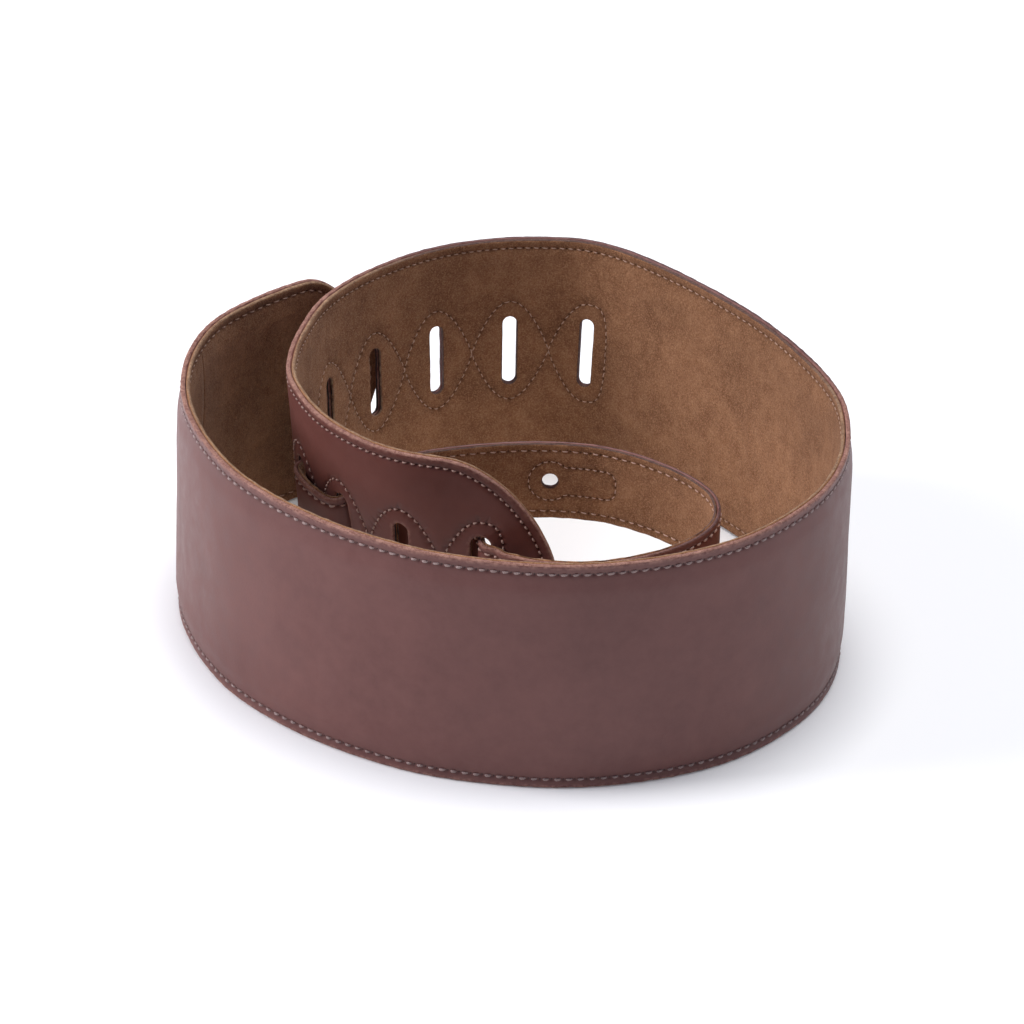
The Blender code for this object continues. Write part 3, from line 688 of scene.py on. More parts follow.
def seam_row(seam):
    """Points in each stitch's middle and beside it, so that the skin can dip under the seam."""
    side = np.column_stack([-np.sin(seam.angles), np.cos(seam.angles)])
    return np.vstack([seam.centres + side * d for d in (0, -BESIDE_SEAM, BESIDE_SEAM)])


def finer(seam):
    """The seam's line as points closely spaced along it."""
    ahead = np.column_stack([np.cos(seam.angles), np.sin(seam.angles)])
    return np.vstack([seam.centres + ahead * d * MM for d in (-2.0, -1.2, -0.4, 0.4, 1.2, 2.0)])


def build_skin(name, skin, low, high):
    """A closed skin between low and high: a fine outer side, a plain hidden side and the cut edges."""
    strip, side = skin.strip, skin.side
    outer, outer_faces, edge = flat_mesh(strip, low, high, skin.trim, RIM_ROWS, HOLE_ROWS, strip.grid,
                                         skin.needle_points())
    wide = (strip.grid[0] * 2, strip.grid[1] * 2.5)
    inner, inner_faces, inner_edge = flat_mesh(strip, low, high, skin.trim, HIDDEN_ROWS, HIDDEN_ROWS, wide,
                                               np.zeros((0, 2)))
    height, pull = skin.outer(outer[:, 0], outer[:, 1], edge)
    ragged = swell(outer[:, 0], outer[:, 1], 21 if side > 0 else 22, 2.5 * MM, 14 * MM)
    height = height - rounding(edge, EDGE_ROUND * (1 + EDGE_RAGGED * ragged))
    prick = np.exp(-(distance_to(skin.needles, outer) / NEEDLE_REACH) ** 2)
    height = height - NEEDLE_DEPTH * prick
    lift = strip.relief(inner[:, 0], inner[:, 1], inner_edge, side)
    ragged = swell(inner[:, 0], inner[:, 1], 23 if side > 0 else 24, 3 * MM, 16 * MM)
    inner_height = LAYER_GAP + np.maximum(lift, 0) * 0.8
    inner_height += rounding(inner_edge, INNER_ROUND * (1 + INNER_RAGGED * EDGE_RAGGED * ragged))
    places = np.vstack([strip.route.at(outer[:, 0], outer[:, 1], side * height),
                        strip.route.at(inner[:, 0], inner[:, 1], side * inner_height)])
    count = len(outer)
    directed = np.vstack([outer_faces[:, [0, 1]], outer_faces[:, [1, 2]], outer_faces[:, [2, 0]]])
    seen = set(map(tuple, directed))
    open_edges = [(a, b) for a, b in seen if (b, a) not in seen]
    walls = [(b, a, a + count, b + count) for a, b in sorted(open_edges)]
    faces = [tuple(f) for f in outer_faces.tolist()]
    faces += [tuple(f) for f in (inner_faces[:, ::-1] + count).tolist()]
    cut_from = len(faces)
    faces += walls
    if side < 0:
        faces = [face[::-1] for face in faces]
    edges_all = np.concatenate([edge, inner_edge])
    corner = edges_all[outer_faces].max(axis=1) < CUT_FACE
    raw = np.zeros(len(faces), np.int32)
    raw[:len(outer_faces)] = corner
    raw[cut_from:] = 1
    in_hole = np.array([strip.hole_distance(*outer[wall[0]]) < 0.2 * MM for wall in walls])
    raw[cut_from:][in_hole] = 2
    splits = [cut for cut in (low, high) if 0 < cut < strip.length]
    smooth = np.ones(len(faces), bool)
    for cut in splits:
        on_cut = np.abs(outer[:, 0] - cut) < 0.01 * MM
        smooth[cut_from:] &= np.array([not (on_cut[wall[0]] and on_cut[wall[1]]) for wall in walls])
    mesh = bpy.data.meshes.new(name)
    mesh.from_pydata(places, [], faces)
    mesh.polygons.foreach_set("material_index", raw)
    mesh.polygons.foreach_set("use_smooth", smooth)
    store(mesh, "rim", edges_all / MM)
    along = np.concatenate([outer[:, 0], inner[:, 0]])
    store(mesh, "dyed", strip.dyed(along))
    store(mesh, "fresh", strip.fresh(along))
    store(mesh, "seam", np.concatenate([pull, np.zeros(len(inner))]))
    store(mesh, "prick", np.concatenate([prick, np.zeros(len(inner))]))
    store_flat(mesh, np.vstack([outer, inner]))
    return add_piece(mesh)


def store(mesh, name, values):
    attribute = mesh.attributes.new(name, "FLOAT", "POINT")
    attribute.data.foreach_set("value", np.asarray(values, np.float32))


def store_flat(mesh, places):
    """Keeps the flat pattern as the mesh's UV map, one unit to a metre."""
    corners = np.zeros(len(mesh.loops), np.int32)
    mesh.loops.foreach_get("vertex_index", corners)
    layer = mesh.uv_layers.new(name="flat")
    layer.uv.foreach_set("vector", places[corners].astype(np.float32).ravel())


def add_piece(mesh):
    piece = bpy.data.objects.new(mesh.name, mesh)
    bpy.context.scene.collection.objects.link(piece)
    return piece


# Stitches

def build_stitches(name, seam, skin, chosen, stitches, seed):
    """Separate stitches of two-ply thread, each diving into its needle holes at both ends."""
    rng = np.random.default_rng(seed)
    strip, side = skin.strip, skin.side
    rings, sides = STITCH_RINGS, STITCH_SIDES
    t = np.linspace(-1, 1, rings)[:, None]
    angle = np.linspace(0, math.tau, sides, endpoint=False)[None]
    ply = 1 + PLY_BULGE * np.cos(2 * (angle - PLY_TWIST * t))
    taper = 1 - STITCH_TAPER * np.abs(t) ** 3
    across = np.cos(angle) * ply * taper * stitches.width / 2
    up = np.sin(angle) * ply * taper * stitches.width * STITCH_FLAT
    arch = STITCH_ARCH - STITCH_DIVE * np.abs(t) ** 3.4
    draws = rng.normal(size=(len(seam.centres), 4))[chosen]
    centres = seam.centres[chosen]
    count = len(centres)
    reach = seam.pitch[chosen] * stitches.cover / 2 * (1 + 0.06 * draws[:, 0])
    thickness = (seam.pitch[chosen] / stitches.pitch) ** 0.8 * (1 + 0.06 * draws[:, 2])
    thickness = (thickness * (1.0 if side > 0 else stitches.lining_thin))[:, None, None]
    turn = seam.angles[chosen] + STITCH_SLANT + STITCH_STRAY * draws[:, 1]
    forward = np.column_stack([np.cos(turn), np.sin(turn)])
    sideways = np.column_stack([-np.sin(turn), np.cos(turn)])
    x = t * np.ones_like(angle)
    flat = (centres[:, None, None] + forward[:, None, None] * (x[None] * reach[:, None, None])[..., None]
            + sideways[:, None, None] * (across[None] * thickness)[..., None])
    base, _ = skin.outer(centres[:, 0], centres[:, 1], np.full(count, strip.seam_inset))
    lift = (arch * (1 + 0.08 * draws[:, 3])[:, None, None] + up[None]) * thickness + base[:, None, None]
    places = strip.route.at(flat[..., 0], flat[..., 1], side * lift).reshape(-1, 3)
    one = []
    for k in range(rings - 1):
        for j in range(sides):
            a, b = k * sides + j, k * sides + (j + 1) % sides
            one.append((a, b, b + sides, a + sides))
    first, last = tuple(range(sides)), tuple(range((rings - 1) * sides, rings * sides))
    one += [first[::-1], last]
    if side > 0:
        one = [face[::-1] for face in one]
    size = rings * sides
    faces = [tuple(index + k * size for index in face) for k in range(count) for face in one]
    mesh = bpy.data.meshes.new(name)
    mesh.from_pydata(places, [], faces)
    mesh.polygons.foreach_set("use_smooth", np.ones(len(faces), bool))
    twist = np.broadcast_to(angle / math.tau + t * 0.9, (rings, sides))
    store(mesh, "twist", np.tile(twist.ravel(), count))
    store(mesh, "shade", np.repeat(rng.random(count), size))
    store(mesh, "fresh", np.repeat(strip.fresh(centres[:, 0]), size))
    store(mesh, "tip", np.tile(np.abs(t * np.ones_like(angle)).ravel(), count))
    return add_piece(mesh)


def build_pad(name, strip, low, high):
    """Foam between the skins, with rounded edges that thin towards the rim."""
    s = np.linspace(low, high, int((high - low) / FOAM_STEP) + 1)
    quarter = np.linspace(0, math.pi / 2, 12)
    across = np.concatenate([-np.cos(quarter), np.cos(quarter[::-1])[1:]])
    reach = strip.half(s, 0.0) - FOAM_INSET
    grid_s = np.repeat(s[:, None], len(across), axis=1)
    grid_v = reach[:, None] * across[None]
    ends = np.minimum(grid_s - low, high - grid_s) / FOAM_END
    thick = FOAM_SKIN + FOAM_CROWN * eased((1 - np.abs(across))[None] * 4) * eased(ends + 0.3)
    top = strip.route.at(grid_s, grid_v, thick).reshape(-1, 3)
    bottom = strip.route.at(grid_s, grid_v, -thick).reshape(-1, 3)
    rows, columns = grid_s.shape
    count = rows * columns
    faces = []
    for i in range(rows - 1):
        for j in range(columns - 1):
            a = i * columns + j
            ring = (a, a + columns, a + columns + 1, a + 1)
            faces.append(ring)
            faces.append(tuple(index + count for index in ring[::-1]))
    rim = [(0, j) for j in range(columns - 1)] + [(i, columns - 1) for i in range(rows - 1)]
    rim += [(rows - 1, j) for j in range(columns - 1, 0, -1)] + [(i, 0) for i in range(rows - 1, 0, -1)]
    ring = [i * columns + j for i, j in rim]
    for a, b in zip(ring, ring[1:] + ring[:1]):
        faces.append((a, b, b + count, a + count))
    mesh = bpy.data.meshes.new(name)
    mesh.from_pydata(np.vstack([top, bottom]), [], faces)
    mesh.polygons.foreach_set("use_smooth", np.ones(len(faces), bool))
    return add_piece(mesh)


# Materials

class Nodes:
    """Short calls for adding and joining shader nodes in one tree."""

    def __init__(self, tree):
        self.tree = tree

    def add(self, kind, inputs=None, **settings):
        node = self.tree.nodes.new(kind)
        for name, value in settings.items():
            setattr(node, name, value)
        for name, value in (inputs or {}).items():
            self.join(value, node.inputs[name])
        return node

    def join(self, value, socket):
        if isinstance(value, bpy.types.NodeSocket):
            self.tree.links.new(value, socket)
        else:
            socket.default_value = value

    def noise(self, vector, scale, detail=2.0, roughness=0.5):
        node = self.add("ShaderNodeTexNoise", {"Vector": vector, "Scale": scale, "Detail": detail,
                                               "Roughness": roughness})
        return node.outputs[0]

    def math(self, operation, a, b=0.0, clamp=False):
        node = self.add("ShaderNodeMath", operation=operation, use_clamp=clamp)
        self.join(a, node.inputs[0])
        self.join(b, node.inputs[1])
        return node.outputs[0]

    def remap(self, value, low, high, new_low=0.0, new_high=1.0):
        node = self.add("ShaderNodeMapRange", {"Value": value, "From Min": low, "From Max": high,
                                               "To Min": new_low, "To Max": new_high})
        return node.outputs[0]

    def mix(self, factor, a, b, blend="MIX"):
        node = self.add("ShaderNodeMix", data_type="RGBA", blend_type=blend)
        self.join(factor, node.inputs["Factor"])
        self.join(a, node.inputs["A"])
        self.join(b, node.inputs["B"])
        return node.outputs["Result"]

    def attribute(self, name):
        return self.add("ShaderNodeAttribute", attribute_name=name).outputs["Fac"]

    def group(self, name, **values):
        node = self.add("ShaderNodeGroup", node_tree=bpy.data.node_groups[name])
        for socket, value in values.items():
            self.join(value, node.inputs[socket.replace("_", " ")])
        return node.outputs


def new_group(name, inputs, outputs):
    """An empty shader group with float inputs {name: default} and float outputs, or None if it exists."""
    if name in bpy.data.node_groups:
        return None
    tree = bpy.data.node_groups.new(name, "ShaderNodeTree")
    for socket, default in inputs.items():
        made = tree.interface.new_socket(socket, in_out="INPUT", socket_type="NodeSocketFloat")
        made.default_value = default
    for socket in outputs:
        tree.interface.new_socket(socket, in_out="OUTPUT", socket_type="NodeSocketFloat")
    nodes = Nodes(tree)
    return nodes, nodes.add("NodeGroupInput").outputs, nodes.add("NodeGroupOutput").inputs


def hide_blotch_group():
    """Slow and quick changes of shade over a hide."""
    made = new_group("Hide Blotch", {"Size": 40.0, "Fine Size": 220.0}, ("Blotch", "Fleck"))
    if made:
        nodes, given, wanted = made
        place = nodes.add("ShaderNodeTexCoord").outputs["Object"]
        slow = nodes.noise(place, given["Size"], 3.0, 0.55)
        quick = nodes.noise(place, given["Fine Size"], 3.0, 0.6)
        nodes.join(nodes.remap(slow, 0.32, 0.68), wanted["Blotch"])
        nodes.join(nodes.remap(quick, 0.3, 0.7), wanted["Fleck"])


def hide_grain_group():
    """Grain of a hide: pebbles with creases between them, and fine pores."""
    made = new_group("Hide Grain", {"Pebble": 900.0, "Pore": 2600.0}, ("Height",))
    if made:
        nodes, given, wanted = made
        place = nodes.add("ShaderNodeTexCoord").outputs["Object"]
        pebble = nodes.add("ShaderNodeTexVoronoi", {"Vector": place, "Scale": given["Pebble"]},
                           feature="SMOOTH_F1").outputs["Distance"]
        pore = nodes.noise(place, given["Pore"], 2.0, 0.6)
        rounded = nodes.math("MULTIPLY", pebble, -0.7)
        nodes.join(nodes.math("ADD", rounded, nodes.math("MULTIPLY", pore, 0.5)), wanted["Height"])


def rim_wear_group():
    """Where a skin is rubbed along its cut edges, broken up so that it isn't an even line."""
    made = new_group("Rim Wear", {"Width": 1.6, "Patch": 160.0}, ("Wear",))
    if made:
        nodes, given, wanted = made
        place = nodes.add("ShaderNodeTexCoord").outputs["Object"]
        near = nodes.math("DIVIDE", nodes.attribute("rim"), given["Width"])
        near = nodes.math("SUBTRACT", 1.0, near, clamp=True)
        patch = nodes.remap(nodes.noise(place, given["Patch"], 3.0, 0.6), 0.38, 0.66)
        nodes.join(nodes.math("MULTIPLY", near, patch), wanted["Wear"])


def seam_shade_group():
    """Painted shade along a seam's groove and in its needle holes."""
    made = new_group("Seam Shade", {"Groove": 0.25, "Needle": 0.85}, ("Shade",))
    if made:
        nodes, given, wanted = made
        groove = nodes.math("MULTIPLY", nodes.attribute("seam"), given["Groove"])
        needle = nodes.math("MULTIPLY", nodes.attribute("prick"), given["Needle"])
        nodes.join(nodes.math("MAXIMUM", groove, needle, clamp=True), wanted["Shade"])


def new_material(name, roughness, **constants):
    """A material with a Principled shader whose constant values are set on its own sockets."""
    found = bpy.data.materials.new(name)
    found.use_nodes = True
    shader = found.node_tree.nodes["Principled BSDF"]
    shader.inputs["Roughness"].default_value = roughness
    for socket, value in constants.items():
        shader.inputs[socket.replace("_", " ")].default_value = value
    return found, Nodes(found.node_tree), shader


def rgba(colour):
    return (*colour, 1.0)


def face_leather(colours):
    made, nodes, shader = new_material("smooth_leather", 0.46, Specular_IOR_Level=0.42)
    blotch = nodes.group("Hide Blotch", Size=26.0, Fine_Size=150.0)
    base = nodes.mix(blotch["Blotch"], rgba(colours.leather_dark), rgba(colours.leather))
    base = nodes.mix(nodes.math("MULTIPLY", blotch["Fleck"], 0.22), base, rgba(colours.leather_worn))
    # painted light: the smooth side is painted paler on the inside of the coil, towards the band's inner end
    # and along the tail
    fresh = nodes.math("MULTIPLY", nodes.attribute("fresh"), 0.42)
    base = nodes.mix(fresh, base, rgba(colours.leather_lit))
    wear = nodes.group("Rim Wear", Width=2.1, Patch=420.0)["Wear"]
    # along the darkened stretches the rubbed rim takes the worn leather colour instead of the raw edge
    # colour
    rubbed = nodes.mix(nodes.attribute("dyed"), rgba(colours.edge), rgba(colours.leather_worn))
    base = nodes.mix(nodes.math("MULTIPLY", wear, 0.8), base, rubbed)
    # painted shade: the seam's groove and its needle holes are painted dark
    shade = nodes.group("Seam Shade", Groove=0.28, Needle=0.9)["Shade"]
    nodes.join(nodes.mix(shade, base, rgba(colours.hole)), shader.inputs["Base Color"])
    rough = nodes.math("ADD", nodes.math("MULTIPLY", blotch["Fleck"], 0.12), 0.42)
    nodes.join(nodes.math("ADD", rough, nodes.math("MULTIPLY", wear, 0.15)), shader.inputs["Roughness"])
    grain = nodes.group("Hide Grain", Pebble=1150.0, Pore=3000.0)["Height"]
    bump = nodes.add("ShaderNodeBump", {"Height": grain, "Strength": 0.16, "Distance": 0.0003})
    nodes.join(bump.outputs[0], shader.inputs["Normal"])
    return made


def suede(colours):
    made, nodes, shader = new_material("brushed_suede", 0.95, Specular_IOR_Level=0.12, Sheen_Weight=0.18,
                                       Sheen_Roughness=0.5, Sheen_Tint=rgba(colours.suede_sheen))
    place = nodes.add("ShaderNodeTexCoord").outputs["Object"]
    blotch = nodes.group("Hide Blotch", Size=48.0, Fine_Size=190.0)
    pale = nodes.remap(nodes.noise(place, 1500.0, 3.0, 0.75), 0.47, 0.60)
    dark = nodes.remap(nodes.noise(place, 1250.0, 3.0, 0.75), 0.50, 0.63)
    strokes = nodes.remap(nodes.noise(place, 130.0, 4.0, 0.7), 0.40, 0.62)
    base = nodes.mix(blotch["Blotch"], rgba(colours.suede_dark), rgba(colours.suede))
    base = nodes.mix(nodes.math("MULTIPLY", blotch["Fleck"], 0.35), base, rgba(colours.suede_light))
    base = nodes.mix(nodes.math("MULTIPLY", strokes, 0.45), base, rgba(colours.suede_dark))
    base = nodes.mix(nodes.math("MULTIPLY", pale, 0.66), base, rgba(colours.suede_light))
    base = nodes.mix(nodes.math("MULTIPLY", dark, 0.60), base, rgba(colours.suede_dark))
    # painted shade: the seam's groove and its needle holes are painted dark
    shade = nodes.group("Seam Shade", Groove=0.2, Needle=0.8)["Shade"]
    nodes.join(nodes.mix(shade, base, rgba(colours.hole)), shader.inputs["Base Color"])
    nap = nodes.math("ADD", nodes.noise(place, 1700.0, 4.0, 0.75), nodes.math("MULTIPLY", strokes, 0.6))
    bump = nodes.add("ShaderNodeBump", {"Height": nap, "Strength": 0.7, "Distance": 0.0006})
    nodes.join(bump.outputs[0], shader.inputs["Normal"])
    return made


def cut_edge(name, light, dark, colours):
    """Raw cut edge of a hide: paler than its faces, fibrous, with darker smears."""
    made, nodes, shader = new_material(name, 0.7, Specular_IOR_Level=0.3)
    place = nodes.add("ShaderNodeTexCoord").outputs["Object"]
    blotch = nodes.group("Hide Blotch", Size=230.0, Fine_Size=1400.0)
    base = nodes.mix(blotch["Blotch"], rgba(light), rgba(dark))
    base = nodes.mix(nodes.math("MULTIPLY", blotch["Fleck"], 0.75), base, rgba(light))
    smear = nodes.remap(nodes.noise(place, 620.0, 4.0, 0.75), 0.46, 0.62)
    base = nodes.mix(nodes.math("MULTIPLY", smear, 0.8), base, rgba(dark))
    # painted shade: dark specks painted where the fibres have pits
    pit = nodes.remap(nodes.noise(place, 1500.0, 3.0, 0.7), 0.56, 0.68)
    base = nodes.mix(nodes.math("MULTIPLY", pit, 0.55), base, rgba(colours.hole))
    # the raw edge is painted darker along the darkened stretches
    dyed = nodes.math("MULTIPLY", nodes.attribute("dyed"), nodes.remap(blotch["Fleck"], 0.0, 1.0, 0.95, 0.6))
    base = nodes.mix(dyed, base, rgba(colours.dye))
    nodes.join(base, shader.inputs["Base Color"])
    fibre = nodes.noise(place, 2400.0, 4.0, 0.7)
    bump = nodes.add("ShaderNodeBump", {"Height": fibre, "Strength": 0.9, "Distance": 0.0008})
    nodes.join(bump.outputs[0], shader.inputs["Normal"])
    return made


def thread(name, light, dark, bright):
    """Two-ply thread: painted shade between its plies, each stitch a little lighter or darker, and painted
    light that makes it paler on the inside of the coil, most at its ends.
    """
    made, nodes, shader = new_material(name, 0.62, Specular_IOR_Level=0.35, Sheen_Weight=0.2)
    place = nodes.add("ShaderNodeTexCoord").outputs["Object"]
    turn = nodes.math("MULTIPLY", nodes.attribute("twist"), math.tau * 2)
    ply = nodes.remap(nodes.math("SINE", turn), -1.0, 1.0)
    # painted shade in the groove between the plies
    base = nodes.mix(nodes.math("MULTIPLY", ply, 0.5), rgba(light), rgba(dark))
    worn = nodes.math("MULTIPLY", nodes.attribute("shade"), 0.35)
    base = nodes.mix(worn, base, rgba(dark))
    # painted light: the thread is painted paler on the inside of the coil, most at its ends
    tips = nodes.remap(nodes.attribute("tip"), 0.0, 1.0, 0.35, 0.9)
    clean = nodes.math("MULTIPLY", nodes.attribute("fresh"), tips)
    nodes.join(nodes.mix(clean, base, rgba(bright)), shader.inputs["Base Color"])
    fibre = nodes.math("ADD", nodes.noise(place, 4200.0, 2.0, 0.6), nodes.math("MULTIPLY", ply, -0.8))
    bump = nodes.add("ShaderNodeBump", {"Height": fibre, "Strength": 0.4, "Distance": 0.0002})
    nodes.join(bump.outputs[0], shader.inputs["Normal"])
    return made


def foam(colours):
    made, nodes, shader = new_material("pad_foam", 0.9)
    place = nodes.add("ShaderNodeTexCoord").outputs["Object"]
    cells = nodes.add("ShaderNodeTexVoronoi", {"Vector": place, "Scale": 1400.0}).outputs["Distance"]
    nodes.join(nodes.mix(cells, rgba(colours.foam), rgba(colours.foam_dark)), shader.inputs["Base Color"])
    bump = nodes.add("ShaderNodeBump", {"Height": cells, "Strength": 0.4, "Distance": 0.0003})
    nodes.join(bump.outputs[0], shader.inputs["Normal"])
    return made


def material(name):
    """One of the strap's materials, made the first time that it is asked for."""
    if name in bpy.data.materials:
        return bpy.data.materials[name]
    colours = bpy.context.scene.strap_colours
    for build in (hide_blotch_group, hide_grain_group, rim_wear_group, seam_shade_group):
        build()
    if name == "smooth_leather":
        return face_leather(colours)
    if name == "brushed_suede":
        return suede(colours)
    if name == "leather_cut_edge":
        return cut_edge(name, colours.edge, colours.edge_dark, colours)
    if name == "suede_cut_edge":
        return cut_edge(name, colours.lining_edge, colours.lining_edge_dark, colours)
    if name == "punched_edge":
        return cut_edge(name, colours.punched, colours.hole, colours)
    if name == "face_thread":
        return thread(name, colours.thread, colours.thread_ply_shade_and_tone, colours.thread_lit)
    if name == "lining_thread":
        return thread(name, colours.lining_thread, colours.lining_thread_ply_shade_and_tone,
                      colours.thread_lit)
    return foam(colours)


# Pieces on their bodies

def dress(piece, materials, replaced, body, flex=None):
    """Gives a piece its materials, hides the CAD parts that it replaces, and fixes it to its body, or bakes
    its placement into its mesh if it is given a flex stretch.
    """
    for name in materials:
        piece.data.materials.append(material(name))
    if flex:
        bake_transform(piece)
    else:
        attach(piece, body)
    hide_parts(*replaced)


def band_flex(band):
    """The two ends of the stretch over which the band's outer end bends."""
    middle = Vector(band.route.at(BAND_FLEX, 0, 0))
    ahead = band.route.heading(BAND_FLEX) * FLEX_REACH
    return "strap", middle - ahead, middle + ahead


def tail_flex(tail):
    s = tail.length - TAIL_FLEX
    middle = Vector(tail.route.at(s, 0, 0))
    ahead = tail.route.heading(s) * FLEX_REACH
    return "tail_end", middle - ahead, middle + ahead


class Parts:
    """The strips, seams and skins, worked out once from the scene's settings."""

    def __init__(self, scene):
        sizes, stitches = scene.strap_sizes, scene.strap_stitches
        self.band = band_strip(sizes)
        self.tail = tail_strip(sizes, self.band)
        self.band_seams = band_seams(sizes, self.band, stitches)
        self.tail_seams = tail_seams(self.tail, stitches)
        self.band_face = Skin(self.band, 1, sizes.face_thickness, 0.0, self.band_seams)
        self.band_lining = Skin(self.band, -1, sizes.lining_thickness, LINING_TRIM, self.band_seams)
        self.tail_face = Skin(self.tail, 1, sizes.tail_face_thickness, 0.0, self.tail_seams)
        self.tail_lining = Skin(self.tail, -1, sizes.tail_lining_thickness, 0.0, self.tail_seams)


PARTS = {}


def parts():
    if not PARTS:
        PARTS["strap"] = Parts(bpy.context.scene)
    return PARTS["strap"]


def flat_size(strip, low, high):
    """Width, length and flat area of a stretch of a strip, less its holes."""
    s = np.linspace(low, high, 2000)
    area = np.trapz(2 * strip.half(s, 0.0), s)
    for centre, half, reach in strip.holes:
        if low < centre < high:
            area -= 4 * half * (reach - half) + math.pi * half ** 2
    return (float(2 * strip.half(s, 0.0).max()), high - low), float(area)


def cut_skins(strip, skins, stretches):
    """Builds each skin in its two stretches: the one that rides on the strap and the one that bends."""
    for skin, leather in skins:
        face = skin.side > 0
        materials = ("smooth_leather", "leather_cut_edge") if face else ("brushed_suede", "suede_cut_edge")
        materials += ("punched_edge",)
        for prefix, low, high, body, flex in stretches:
            piece = build_skin(f"{prefix}_{leather}", skin, low, high)
            kind = "face_leather" if face else "suede_lining"
            dress(piece, materials, [f"{prefix}_{kind}"], body, flex)
            flat, area = flat_size(strip, low, high)


def sew(seam, strip, skins, stretches, names, seed):
    """Sews one seam through both skins, split where the strap is split."""
    stitches = bpy.context.scene.strap_stitches
    for skin in skins:
        face = skin.side > 0
        kind = "face" if face else "lining"
        for prefix, low, high, body, flex in stretches:
            chosen = (seam.centres[:, 0] > low) & (seam.centres[:, 0] <= high)
            if not chosen.any():
                continue
            seed += 1
            label = names[prefix]
            piece = build_stitches(f"{label[0]}_{kind}_stitches", seam, skin, chosen, stitches, seed)
            replaced = [f"{name}_{kind}_thread" for name in label]
            dress(piece, (f"{kind}_thread",), replaced, body, flex)


def band_stretches(strip):
    return (("body", BAND_SPLIT, strip.length, "strap", None),
            ("outer_end", 0.0, BAND_SPLIT, "outer_end", band_flex(strip)))


def tail_stretches(strip):
    split = strip.length - TAIL_SPLIT
    return (("tail", 0.0, split, "strap", None),
            ("tail_end", split, strip.length, "strap", tail_flex(strip)))


# Settings

def length_setting(name, description, default):
    return FloatProperty(name=name, description=description, default=default, min=0.0, unit="LENGTH",
                         precision=5)


def colour_setting(name, description, default):
    return FloatVectorProperty(name=name, description=description, default=default, size=3, min=0.0, max=1.0,
                               subtype="COLOR")


class StrapSizes(bpy.types.PropertyGroup):
    band_width: length_setting("Band width", "Width of the padded band", 0.102)
    face_thickness: length_setting("Face leather", "Thickness of the band's smooth leather", 0.002)
    lining_thickness: length_setting("Suede lining", "Thickness of the band's lining", 0.0016)
    pad_rise: length_setting("Pad rise", "How far the foam pushes each skin out", 0.0011)
    outer_round: length_setting("Outer round", "Length of the rounded end with the button hole", 0.036)
    inner_round: length_setting("Inner round", "Length of the rounded end beyond the slots", 0.046)
    first_slot: length_setting("First slot", "From the band's inner tip to the first slot", 0.031)
    slot_pitch: length_setting("Slot pitch", "From one slot to the next", 0.0332)
    slot_count: IntProperty(name="Slots", description="Number of slots in the band", default=10, min=5)
    slot_length: length_setting("Slot length", "Length of a slot, across the band", 0.031)
    slot_width: length_setting("Slot width", "Width of an empty slot", 0.006)
    threaded_width: length_setting("Threaded slot", "Width of a slot that the tail holds open", 0.0084)
    hole_radius: length_setting("Button hole", "Radius of both button holes", 0.0033)
    tail_width: length_setting("Tail width", "Width of the tail where it weaves through the slots", 0.0276)
    tail_end_width: length_setting("Tail end width", "Width of the tail by its button hole", 0.035)
    tail_face_thickness: length_setting("Tail leather", "Thickness of the tail's smooth leather", 0.0015)
    tail_lining_thickness: length_setting("Tail lining", "Thickness of the tail's suede", 0.0012)



class StrapStitches(bpy.types.PropertyGroup):
    pitch: length_setting("Pitch", "From one stitch to the next on the padded part of the band", 0.0046)
    slot_pitch: length_setting("Slot pitch", "From one stitch to the next by the slots", 0.0032)
    tail_pitch: length_setting("Tail pitch", "From one stitch to the next on the tail", 0.0043)
    width: length_setting("Thread", "Width of the thread on the smooth side", 0.00098)
    cover: FloatProperty(name="Cover", description="Part of the pitch that a stitch covers", default=0.63,
                         min=0.1, max=0.95, subtype="FACTOR")
    lining_thin: FloatProperty(name="Lining thread", description="Width of the lining's thread beside that",
                               default=0.54, min=0.1, max=1.0, subtype="FACTOR")


